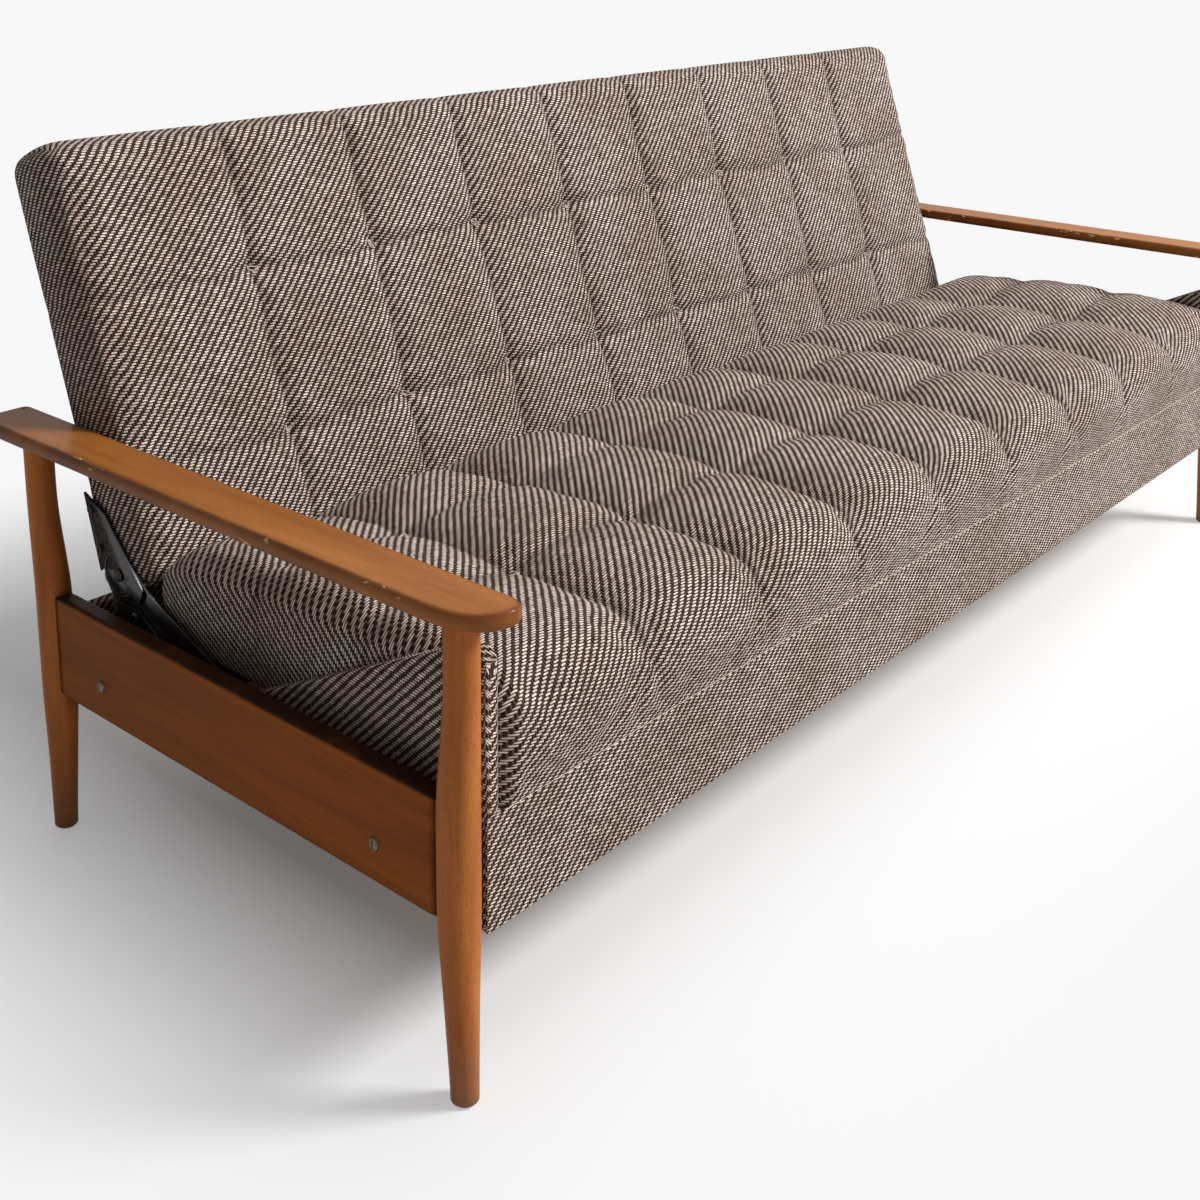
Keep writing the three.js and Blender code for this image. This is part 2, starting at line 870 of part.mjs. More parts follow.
function backCushionSolid() {
  const lowTuft = back.lowRow;
  const highTuft = back.lowRow + back.rowHeight;
  const brow = backHeight - back.crown;
  const rearTop = backHeight - back.rearEdge;
  const segments = [
    { from: [0, 0], to: [0, lowTuft], puff: back.puff, steps: 4 },
    { from: [0, lowTuft], to: [0, highTuft], puff: back.puff, steps: 5 },
    { from: [0, highTuft], to: [0, brow], puff: back.puff, steps: 5 },
    { from: [0, brow], to: [back.crown / 3, brow + back.crown * 2 / 3], puff: 0, steps: 1 },
    { from: [back.crown / 3, brow + back.crown * 2 / 3], to: [back.crown, backHeight], puff: 0, steps: 1 },
    { from: [back.crown, backHeight], to: [backThickness - back.rearEdge, backHeight], puff: 0, steps: 1 },
    { from: [backThickness - back.rearEdge, backHeight], to: [backThickness, rearTop], puff: 0, steps: 1 },
    { from: [backThickness, rearTop], to: [backThickness, 0], puff: 0, steps: 1 },
  ];
  const cushion = tuftedCushion({
    segments,
    halfLength: backHalf,
    pitch: back.pitch,
    endRound: back.endRound,
    rearRound: back.rearEdge / 2,
  });
  return cut(leaned(cut(cushion, backRecess())), ...armScrews.flatMap(({ y, z }) => {
    const hole = turned([[0, screw.head + gap], [back.inset + back.wall + overrun, screw.head + gap]], y, z);
    return [hole, mirrored(hole)];
  }));
}

add('back_cushion', backCushionSolid(), twill);

const armScrewHole = ({ y, z }) => turned(
  [[0, screw.shank + gap], [half / 2, screw.shank + gap]], y, z,
);
const backLength = [-backFrame.halfX, backFrame.halfX];
const backRun = [backFrame.innerLow, backFrame.innerHigh];
add('back_frame_top', backTimber(backLength, backFrame.topRail, backFrame.high), pine);
add('back_frame_bottom', backTimber(backLength, backFrame.low, backFrame.bottomRail), pine);
addPair('back_frame_end', cut(backTimber(backEndRun, ...backRun), ...armScrews.map(armScrewHole)), pine);
add('back_frame_post', backTimber(backPostRun, ...backRun), pine);

add('back_rear_panel', leaned(block(
  [-backFrame.halfX, backFrame.rear - back.panel, backFrame.low],
  [backFrame.halfX, backFrame.rear, backFrame.high],
)), hardboard);

// Hinge arms. The seat arm is an angle under the seat frame that runs back to the
// seat pivot. The back arm is a plate on the end of the back, with a notched sector.

const polar = (centre, radius, degrees) => {
  const angle = THREE.MathUtils.degToRad(degrees);
  return { y: centre.y + radius * Math.cos(angle), z: centre.z + radius * Math.sin(angle) };
};

const noseReach = detent.sector - detent.notchDepth + detent.nose + gap;
const noseCentre = polar(backPivot, noseReach, detent.noseAngle);
const pawlPivot = polar(noseCentre, detent.armLength, detent.noseAngle - 90);
const anchor = { y: pawlPivot.y + detent.anchorY, z: pawlPivot.z - detent.anchorDrop };

const flangeHigh = seat.bottom - gap;
const flangeLow = flangeHigh - hinge.plate;

function seatArmSolid() {
  const boss = hinge.collar + hinge.plate;
  const toeHeight = hinge.plate * 2;
  const web = new THREE.Shape();
  web.moveTo(hinge.flangeFront, flangeLow);
  web.lineTo(anchor.y - boss, flangeLow);
  web.lineTo(seatPivot.y, seatPivot.z - boss);
  web.absarc(seatPivot.y, seatPivot.z, boss, -Math.PI / 2, Math.PI / 2, false);
  web.lineTo(anchor.y + boss, seatPivot.z + boss + hinge.plate);
  web.absarc(backPivot.y, backPivot.z, detent.sector, -Math.PI / 4, Math.PI / 2, false);
  web.lineTo(backPivot.y - hinge.faceOffset, backPivot.z - hinge.heelDrop / 2);
  web.lineTo(hinge.flangeFront + boss * 2, flangeLow + toeHeight + boss / 2);
  web.lineTo(hinge.flangeFront, flangeLow + toeHeight);
  sideHole(web, backPivot.y, backPivot.z, hinge.pin + turnGap);
  sideHole(web, seatPivot.y, seatPivot.z, hinge.pin + turnGap);
  sideHole(web, pawlPivot.y, pawlPivot.z, detent.pin + turnGap);
  const plate = sidePlate(web, hinge.seatArmInset, hinge.plate);
  const flange = sideBlock(
    hinge.seatArmInset + hinge.plate / 2,
    hinge.flangeReach - hinge.seatArmInset,
    hinge.flangeFront,
    seatFrame.rear,
    flangeLow,
    flangeHigh,
  );
  const peg = turned([
    [hinge.backArmInset - detent.pegReach, detent.pegRadius],
    [hinge.seatArmInset + hinge.plate / 2, detent.pegRadius],
  ], anchor.y, anchor.z);
  return join(plate, flange, peg);
}

addPair('seat_arm', seatArmSolid(), enamel);

// The back arm's round end: a wide cheek at the front, then the sector with its notches.
function sectorRadius(degrees) {
  if (degrees < detent.cheekStop) {
    return detent.cheek;
  }
  const step = (fullLean - backLean) / 2;
  const nearest = Math.round((degrees - detent.noseAngle) / step);
  const off = degrees - detent.noseAngle - nearest * step;
  if (nearest < 0 || Math.abs(off) > detent.notchHalfAngle) {
    return detent.sector;
  }
  const share = Math.cos((Math.PI / 2) * (off / detent.notchHalfAngle)) ** 2;
  return detent.sector - detent.notchDepth * share;
}

function backArmSolid() {
  const tip = leanedPoint(backThickness - back.rearEdge, backHeight * screw.highShare + timber.width / 2);
  const heel = leanedPoint(backFrame.rear - back.panel, backHeight * screw.lowShare / 2);
  const brow = leanedPoint(backFrame.front - hinge.head, backHeight * screw.highShare - hinge.head);
  const outline = new THREE.Shape();
  outline.moveTo(tip.y, tip.z);
  outline.lineTo(brow.y, brow.z);
  const stopAngle = 362;
  const stepAngle = 3;
  for (let angle = detent.cheekStart; angle <= stopAngle; angle += stepAngle) {
    const point = polar(backPivot, sectorRadius(angle), angle);
    outline.lineTo(point.y, point.z);
  }
  outline.lineTo(heel.y, heel.z);
  sideHole(outline, backPivot.y, backPivot.z, hinge.pin + turnGap);
  for (const place of armScrews) {
    sideHole(outline, place.y, place.z, screw.shank + gap);
  }
  return sidePlate(outline, hinge.backArmInset, hinge.plate);
}

addPair('back_arm', backArmSolid(), enamel);

const backPin = turned([
  [hinge.backArmInset - gap - hinge.headHeight, hinge.head / 2],
  [hinge.backArmInset - gap - hinge.headHeight / 2, hinge.head],
  [hinge.backArmInset - gap, hinge.head],
  [hinge.backArmInset - gap, hinge.pin],
  [hinge.seatArmInset + hinge.plate + gap, hinge.pin],
], backPivot.y, backPivot.z);

addPair('back_pivot_pin', backPin, steel);

armScrews.forEach(({ y, z }, place) => {
  const face = hinge.backArmInset - gap;
  const inner = hinge.backArmInset + hinge.plate + gap;
  const seatFace = back.inset + back.wall;
  const body = turned([
    [face - screw.headHeight, screw.head / 2],
    [face - screw.headHeight / 2, screw.head],
    [face, screw.head],
    [face, screw.shank],
    [inner, screw.shank],
    [inner, screw.head],
    [seatFace, screw.head],
    [seatFace, screw.shank],
    [seatFace + screw.length, screw.shank],
  ], y, z);
  addPair(`back_arm_screw_${place + 1}`, body, steel);
});

// Pawls: sprung levers whose round nose rests in a notch of the sector.

function pawlSolid() {
  const heading = detent.noseAngle - 90;
  const shape = new THREE.Shape();
  const neck = polar(noseCentre, detent.nose * 2, heading);
  const neckTop = polar(neck, detent.nose / 2, heading - 90);
  const bossTop = polar(pawlPivot, detent.boss, heading - 90);
  const tailTop = {
    y: pawlPivot.y - detent.tailLength,
    z: pawlPivot.z - detent.tailDrop + detent.tailWidth,
  };
  shape.moveTo(neckTop.y, neckTop.z);
  shape.lineTo(bossTop.y, bossTop.z);
  shape.lineTo(tailTop.y, tailTop.z);
  shape.lineTo(tailTop.y - detent.tailWidth, tailTop.z - detent.tailWidth * 2);
  shape.lineTo(tailTop.y, tailTop.z - detent.tailWidth * 2);
  shape.lineTo(pawlPivot.y - detent.boss, pawlPivot.z - detent.boss);
  const pegLow = pawlPivot.z - detent.pegDrop - detent.tailWidth;
  shape.lineTo(pawlPivot.y - detent.tailWidth, pegLow);
  shape.lineTo(pawlPivot.y + detent.tailWidth, pegLow);
  const bossEnd = polar(pawlPivot, detent.boss, heading + 135);
  shape.lineTo(bossEnd.y, bossEnd.z);
  const startAngle = THREE.MathUtils.degToRad(heading + 90);
  const noseSweep = Math.PI * 1.3;
  shape.absarc(noseCentre.y, noseCentre.z, detent.nose, startAngle, startAngle + noseSweep, false);
  sideHole(shape, pawlPivot.y, pawlPivot.z, detent.pin + turnGap);
  const lever = sidePlate(shape, hinge.backArmInset, hinge.plate);
  const peg = turned([
    [hinge.backArmInset - detent.pegReach, detent.pegRadius],
    [hinge.backArmInset + hinge.plate / 2, detent.pegRadius],
  ], pawlPivot.y, pawlPivot.z - detent.pegDrop);
  return join(lever, peg);
}

addPair('pawl', pawlSolid(), enamel);

const pawlPin = turned([
  [hinge.backArmInset - gap - hinge.headHeight, detent.pin],
  [hinge.backArmInset - gap - hinge.headHeight / 2, detent.boss * 2 / 3],
  [hinge.backArmInset - gap, detent.boss * 2 / 3],
  [hinge.backArmInset - gap, detent.pin],
  [hinge.seatArmInset + hinge.plate + gap, detent.pin],
], pawlPivot.y, pawlPivot.z);

addPair('pawl_pin', pawlPin, steel);

// Return springs: a coil between the pawl's peg and the peg on the seat arm.

// The least gap of a wound wire to itself, measured on points of its centre line that
// lie half a curl or more apart along it.
function leastGap(path, wireRadius, coilRadius) {
  const samples = 480;
  const points = path.getSpacedPoints(samples);
  const halfCurl = Math.ceil((Math.PI * coilRadius * samples) / path.getLength());
  let least = Infinity;
  for (let start = 0; start <= samples; start += 1) {
    for (let other = start + halfCurl; other <= samples; other += 1) {
      least = Math.min(least, points[start].distanceTo(points[other]));
    }
  }
  return least - wireRadius * 2;
}

function springSolid() {
  const near = new THREE.Vector2(pawlPivot.y, pawlPivot.z - detent.pegDrop);
  const far = new THREE.Vector2(anchor.y, anchor.z);
  const span = near.distanceTo(far);
  const along = far.clone().sub(near).divideScalar(span);
  const bend = detent.pegRadius + spring.hookGap + spring.wire;
  const coilStart = bend + spring.coil;
  const coilLength = span - coilStart * 2;
  const turnSteps = 8;
  const hookSteps = 4;
  const points = [];
  const place = (distance, side, out) => new THREE.Vector3(
    hinge.backArmInset - spring.axisOut + out - half,
    near.x + along.x * distance - along.y * side,
    near.y + along.y * distance + along.x * side,
  );
  for (let step = 0; step <= hookSteps; step += 1) {
    const angle = Math.PI / 2 + (step / hookSteps) * Math.PI;
    points.push(place(bend * Math.cos(angle), bend * Math.sin(angle), 0));
  }
  for (let step = 0; step <= spring.curls * turnSteps; step += 1) {
    const angle = -Math.PI / 2 + (step / turnSteps) * Math.PI * 2;
    const distance = coilStart + coilLength * (step / (spring.curls * turnSteps));
    points.push(place(distance, spring.coil * Math.sin(angle), spring.coil * Math.cos(angle)));
  }
  for (let step = 0; step <= hookSteps; step += 1) {
    const angle = -Math.PI / 2 + (step / hookSteps) * Math.PI;
    points.push(place(span + bend * Math.cos(angle), bend * Math.sin(angle), 0));
  }
  const lead = spring.wire * 2;
  const path = new THREE.CurvePath();
  path.add(new THREE.LineCurve3(place(lead, bend, 0), points[0]));
  path.add(new THREE.CatmullRomCurve3(points));
  path.add(new THREE.LineCurve3(points[points.length - 1], place(span - lead, bend, 0)));
  const wire = new THREE.Shape();
  const wireSides = 5;
  for (let side = 0; side < wireSides; side += 1) {
    const angle = (side / wireSides) * Math.PI * 2;
    const x = spring.wire * Math.cos(angle);
    const y = spring.wire * Math.sin(angle);
    if (side === 0) {
      wire.moveTo(x, y);
    } else {
      wire.lineTo(x, y);
    }
  }
  console.log(`pawl spring: least gap to itself ${leastGap(path, spring.wire, spring.coil).toFixed(2)} mm`);
  return new THREE.ExtrudeGeometry(wire, { steps: points.length + 1, extrudePath: path });
}

addPair('pawl_spring', springSolid(), springSteel);

// The sofa stands over the centre of its bounding box.

const bounds = new THREE.Box3().setFromObject(sofa);
const centre = bounds.getCenter(new THREE.Vector3());
sofa.position.set(-centre.x, -centre.y, 0);

const size = bounds.getSize(new THREE.Vector3());
const toPivot = (point) => `y ${(point.y - centre.y).toFixed(2)} z ${point.z.toFixed(2)}`;
console.log(`overall ${size.x.toFixed(1)} x ${size.y.toFixed(1)} x ${size.z.toFixed(1)}`);
console.log(`seat pivot ${toPivot(seatPivot)}, back pivot ${toPivot(backPivot)}`);
console.log(`pawl pivot ${toPivot(pawlPivot)}`);

export default sofa;
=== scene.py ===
import math

import bmesh
import bpy
import numpy as np
from mathutils import Matrix, Vector
from mathutils.bvhtree import BVHTree


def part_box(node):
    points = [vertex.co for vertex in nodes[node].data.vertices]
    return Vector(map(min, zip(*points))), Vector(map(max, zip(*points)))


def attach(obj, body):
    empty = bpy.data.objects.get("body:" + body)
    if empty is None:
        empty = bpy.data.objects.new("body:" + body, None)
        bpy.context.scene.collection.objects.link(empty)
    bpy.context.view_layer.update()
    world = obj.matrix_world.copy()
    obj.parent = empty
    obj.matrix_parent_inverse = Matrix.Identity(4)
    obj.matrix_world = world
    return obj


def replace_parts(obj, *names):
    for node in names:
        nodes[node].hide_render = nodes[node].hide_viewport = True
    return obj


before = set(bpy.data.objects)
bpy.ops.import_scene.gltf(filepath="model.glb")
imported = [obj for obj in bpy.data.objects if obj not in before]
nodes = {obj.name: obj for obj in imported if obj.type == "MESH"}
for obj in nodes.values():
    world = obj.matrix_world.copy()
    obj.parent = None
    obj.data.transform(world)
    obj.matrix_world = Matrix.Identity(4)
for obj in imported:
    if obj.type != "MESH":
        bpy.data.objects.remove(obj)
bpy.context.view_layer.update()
scene = bpy.context.scene
print("sofa bed: frame loaded,", len(nodes), "nodes")

# Lengths are in metres. Y = 0 is the middle of the sofa's depth, as in the frame.
sofa = {
    "frontLegY": -0.37955,
    "rearLegY": 0.33245,
    "legX": 1.0,
    "backHinge": (0.2263, 0.36),        # y, z of the axis that the back turns on
    "lean": math.radians(18.75),
}

# Camera, at the photograph's place, with the shift that its framing needs.
camera = {
    "place": (-1.9305, -1.31762, 1.1400),
    "yaw": 0.854713,        # from +Y towards +X
    "pitch": 0.223199,      # downwards
    "roll": 0.007717,
    "lens": 47.1365,
    "shift": (0.02433, -0.28136),
}


def addCamera():
    yaw, pitch, roll = camera["yaw"], camera["pitch"], camera["roll"]
    ahead = Vector((math.sin(yaw) * math.cos(pitch), math.cos(yaw) * math.cos(pitch),
                    -math.sin(pitch)))
    side = Vector((math.cos(yaw), -math.sin(yaw), 0))
    above = side.cross(ahead)
    right = side * math.cos(roll) + above * math.sin(roll)
    up = above * math.cos(roll) - side * math.sin(roll)
    data = bpy.data.cameras.new("photoCamera")
    data.sensor_width = 36
    data.lens = camera["lens"]
    data.shift_x, data.shift_y = camera["shift"]
    data.clip_end = 80
    eye = bpy.data.objects.new("photoCamera", data)
    turn = Matrix((right, up, -ahead)).transposed().to_4x4()
    eye.matrix_world = Matrix.Translation(camera["place"]) @ turn
    scene.collection.objects.link(eye)
    scene.camera = eye


addCamera()
print("sofa bed: camera set")


def hexToLinear(text):
    parts = [int(text[place:place + 2], 16) / 255 for place in (0, 2, 4)]
    return (*(part / 12.92 if part <= 0.04045 else ((part + 0.055) / 1.055) ** 2.4
              for part in parts), 1.0)


# Links a node's inputs to sockets or to other nodes' first outputs, or fills them with
# values, of which texts are hex colours.
def setInputs(tree, node, inputs):
    for socket, source in inputs.items():
        if isinstance(source, bpy.types.Node):
            source = next(output for output in source.outputs if output.enabled)
        if isinstance(source, bpy.types.NodeSocket):
            tree.links.new(source, node.inputs[socket])
        else:
            value = hexToLinear(source) if isinstance(source, str) else source
            node.inputs[socket].default_value = value


# Adds a node with its settings and links.
def addNode(tree, kind, inputs=None, **settings):
    node = tree.nodes.new("ShaderNode" + kind)
    for name, value in settings.items():
        setattr(node, name, value)
    setInputs(tree, node, inputs or {})
    return node


def newMaterial(name):
    material = bpy.data.materials.new(name)
    material.use_nodes = True
    return material, material.node_tree, material.node_tree.nodes["Principled BSDF"]


# Wool and cotton 2/2 twill, woven of a thin dark brown warp and a thick cream weft: matt, with
# slanting ribs of short cream strokes on brown, and a little fuzz that catches the light.
twillLook = {
    "thread": 0.003,          # real spacing of the threads; the twill repeats every 12 mm
    "wander": 0.0009,         # how far a thread strays
    "wanderScale": 80.0,      # per metre: a stray every 12 mm or so
    "brown": ("26120a", "45281a"),
    "cream": ("d6c1b3", "fff2e8"),
    "creamLong": 1.12, "creamWide": 0.35,     # half of a float, in threads
    "brownLong": 1.15, "brownWide": 0.36,
    "unevenLong": (0.86, 1.14), "unevenTone": (0.82, 1.12),     # from float to float
    "plySlant": 2.4, "plyTone": (0.86, 1.05),
    "slit": 0.14,             # painted shade: how light the cream shows in the shaded slits between brown threads
    "relief": 0.0010,
    "soil": ("eee8e4", "ffffff"), "soilScale": 7.0,
    "fold": 0.35,             # painted shade and dust: what is left of the colour at the bottom of a sewn fold
    "roughness": 0.9, "level": 0.03, "sheen": 0.03,
}


# How high a float stands, from 1 on its ridge to 0 and less outside it.
def floatShape(tree, offAlong, offAcross, long, wide):
    away = addNode(tree, "Math", {0: offAlong, 1: long}, operation="DIVIDE")
    awayUsed = addNode(tree, "Math", {0: away, 1: 4.0}, operation="POWER")
    side = addNode(tree, "Math", {0: offAcross, 1: 0.5}, operation="SUBTRACT")
    sideShare = addNode(tree, "Math", {0: side, 1: wide}, operation="DIVIDE")
    sideUsed = addNode(tree, "Math", {0: sideShare, 1: sideShare}, operation="MULTIPLY")
    sunk = addNode(tree, "Math", {0: awayUsed, 1: sideUsed}, operation="ADD")
    return addNode(tree, "Math", {0: 1.0, 1: sunk}, operation="SUBTRACT")


def weaveTwill(name, look):
    material, tree, shader = newMaterial(name)
    cloth = addNode(tree, "UVMap", uv_map="cloth")
    stray = addNode(tree, "TexNoise", {"Vector": cloth, "Scale": look["wanderScale"],
                                       "Detail": 3.0}, noise_dimensions="2D")
    strayed = addNode(tree, "VectorMath", {0: stray.outputs["Color"], 1: (0.5, 0.5, 0.5)},
                      operation="SUBTRACT")
    strayAmount = addNode(tree, "VectorMath", {0: strayed, "Scale": look["wander"] * 2},
                          operation="SCALE")
    placed = addNode(tree, "VectorMath", {0: cloth, 1: strayAmount}, operation="ADD")
    threads = addNode(tree, "VectorMath", {0: placed, "Scale": 1 / look["thread"]},
                      operation="SCALE")
    count = addNode(tree, "SeparateXYZ", {0: threads}).outputs
    warp, weft = (addNode(tree, "Math", {0: count[axis]}, operation="FLOOR") for axis in (0, 1))
    across, along = (addNode(tree, "Math", {0: count[axis]}, operation="FRACT")
                     for axis in (0, 1))
    # each thread floats over two of the other set, one thread further on in every row
    weftLag = addNode(tree, "Math", {0: count[0], 1: weft}, operation="SUBTRACT")
    weftPlace = addNode(tree, "Math", {0: weftLag, 1: 3.0}, operation="SUBTRACT")
    weftOff = addNode(tree, "Math", {0: weftPlace, 1: 2.0}, operation="PINGPONG")
    warpLag = addNode(tree, "Math", {0: count[1], 1: warp}, operation="SUBTRACT")
    warpOff = addNode(tree, "Math", {0: warpLag, 1: 2.0}, operation="PINGPONG")
    # every float is a little longer and lighter, or shorter and darker, than the next
    floatShare = addNode(tree, "Math", {0: weftLag, 1: 0.25, 2: -0.25},
                         operation="MULTIPLY_ADD")
    floatNumber = addNode(tree, "Math", {0: floatShare}, operation="FLOOR")
    floatPlace = addNode(tree, "CombineXYZ", {0: floatNumber, 1: weft})
    chance = addNode(tree, "TexWhiteNoise", {"Vector": floatPlace}, noise_dimensions="2D")
    shorter, longer = (look["creamLong"] * share for share in look["unevenLong"])
    creamLong = addNode(tree, "MapRange", {0: chance, 3: shorter, 4: longer})
    floatTone = addNode(tree, "MapRange", {0: chance, 3: look["unevenTone"][0],
                                           4: look["unevenTone"][1]})
    creamRise = floatShape(tree, weftOff, along, creamLong, look["creamWide"])
    brownRise = floatShape(tree, warpOff, across, look["brownLong"], look["brownWide"])
    creamShows = addNode(tree, "MapRange", {0: creamRise, 1: -0.2, 2: 0.25})
    brownShows = addNode(tree, "MapRange", {0: brownRise, 1: -0.3, 2: 0.3})
    # the ply of the yarn, as slanting strokes across each float
    ply = addNode(tree, "Math", {0: weftOff, 1: look["plySlant"], 2: along},
                  operation="MULTIPLY_ADD")
    plyWave = addNode(tree, "Math", {0: ply, 1: 0.5}, operation="PINGPONG")
    plyShade = addNode(tree, "MapRange", {0: plyWave, 1: 0.0, 2: 0.5, 3: look["plyTone"][0],
                                          4: look["plyTone"][1]})
    tone = addNode(tree, "TexNoise", {"Vector": threads, "Scale": 0.4, "Detail": 3.0,
                                      "Roughness": 0.75}, noise_dimensions="2D")
    toneUsed = addNode(tree, "MapRange", {0: tone, 1: 0.33, 2: 0.67})
    soil = addNode(tree, "TexNoise", {"Vector": cloth, "Scale": look["soilScale"],
                                      "Detail": 4.0}, noise_dimensions="2D")
    soilUsed = addNode(tree, "MapRange", {0: soil, 1: 0.35, 2: 0.6})
    brown, cream, soilTint = (
        addNode(tree, "Mix", {0: share, 6: look[colour][0], 7: look[colour][1]},
                data_type="RGBA")
        for colour, share in (("brown", toneUsed), ("cream", toneUsed), ("soil", soilUsed)))
    # painted shade and highlight: each float is drawn darker towards its sides and ends, where
    # the threads beside it shade it, and a brown float lighter along its ridge
    brownShadeAndHighlight = addNode(tree, "MapRange", {0: brownRise, 1: -0.4, 2: 0.9, 3: 0.35, 4: 1.25})
    creamPaintedShade = addNode(tree, "MapRange", {0: creamRise, 1: 0.0, 2: 0.75, 3: 0.7, 4: 1.0})
    creamPly = addNode(tree, "Math", {0: creamPaintedShade, 1: plyShade}, operation="MULTIPLY")
    creamShade = addNode(tree, "Math", {0: creamPly, 1: floatTone}, operation="MULTIPLY")
    # painted shade: the cream seen in the slits between brown floats is drawn dark, darker
    # further from the floats
    slit = addNode(tree, "MapRange", {0: warpOff, 1: 0.8, 2: 1.3, 3: look["slit"], 4: 0.05})
    brownShown, creamShown, slitShown = (
        addNode(tree, "VectorMath", {0: colour, "Scale": share}, operation="SCALE")
        for colour, share in ((brown, brownShadeAndHighlight), (cream, creamShade), (cream, slit)))
    below = addNode(tree, "Mix", {0: brownShows, 6: slitShown, 7: brownShown},
                    data_type="RGBA")
    yarn = addNode(tree, "Mix", {0: creamShows, 6: below, 7: creamShown}, data_type="RGBA")
    aged = addNode(tree, "VectorMath", {0: yarn, 1: soilTint}, operation="MULTIPLY")
    # the sewn folds, as the mesh marks them, are drawn darker: painted shade, with some dust
    fold = addNode(tree, "Attribute", attribute_name="edge").outputs["Fac"]
    foldShade = addNode(tree, "MapRange", {0: fold, 3: 1.0, 4: look["fold"]})
    finished = addNode(tree, "VectorMath", {0: aged, "Scale": foldShade}, operation="SCALE")
    brownLow = addNode(tree, "Math", {0: brownRise, 1: 0.55}, operation="MULTIPLY")
    highest = addNode(tree, "Math", {0: creamRise, 1: brownLow}, operation="MAXIMUM")
    relief = addNode(tree, "Math", {0: plyWave, 1: 0.2, 2: highest}, operation="MULTIPLY_ADD")
    bump = addNode(tree, "Bump", {"Height": relief, "Distance": look["relief"],
                                  "Strength": 0.6})
    setInputs(tree, shader, {
        "Base Color": finished, "Normal": bump, "Roughness": look["roughness"], "IOR": 1.45,
        "Specular IOR Level": look["level"], "Sheen Weight": look["sheen"],
        "Sheen Roughness": 0.5})
    return material


# Beech under brushed amber lacquer: honey brown and half glossy, with beech's short dark
# ray flecks along the grain, soft growth bands, and pale bare wood where edges are knocked.
beechLook = {
    "honey": "b07036",
    "amber": "965a26",
    "fleck": "643410", "fleckShare": 0.55,
    # the tone that marked places darken to: pooled lacquer and wear, and painted shade
    "shadow": "66330f", "pooledAndShaded": 1.0,
    "bare": "e6bd8a", "knocked": 0.63,
    "fleckAcross": 1100.0,    # per metre: flecks 0.9 mm apart, drawn twice their real width
    "fleckAlong": 130.0,
    "bandAcross": 26.0, "bandAlong": 2.2,
    "knockAcross": 240.0, "knockAlong": 60.0, "knockZones": 9.0,
    "roughness": 0.42, "level": 0.04,
    "coat": 0.18, "coatRoughness": 0.16,
    "relief": 0.0002,
}
grainTurns = {"y": (0, 0, math.pi / 2), "z": (0, math.pi / 2, 0)}


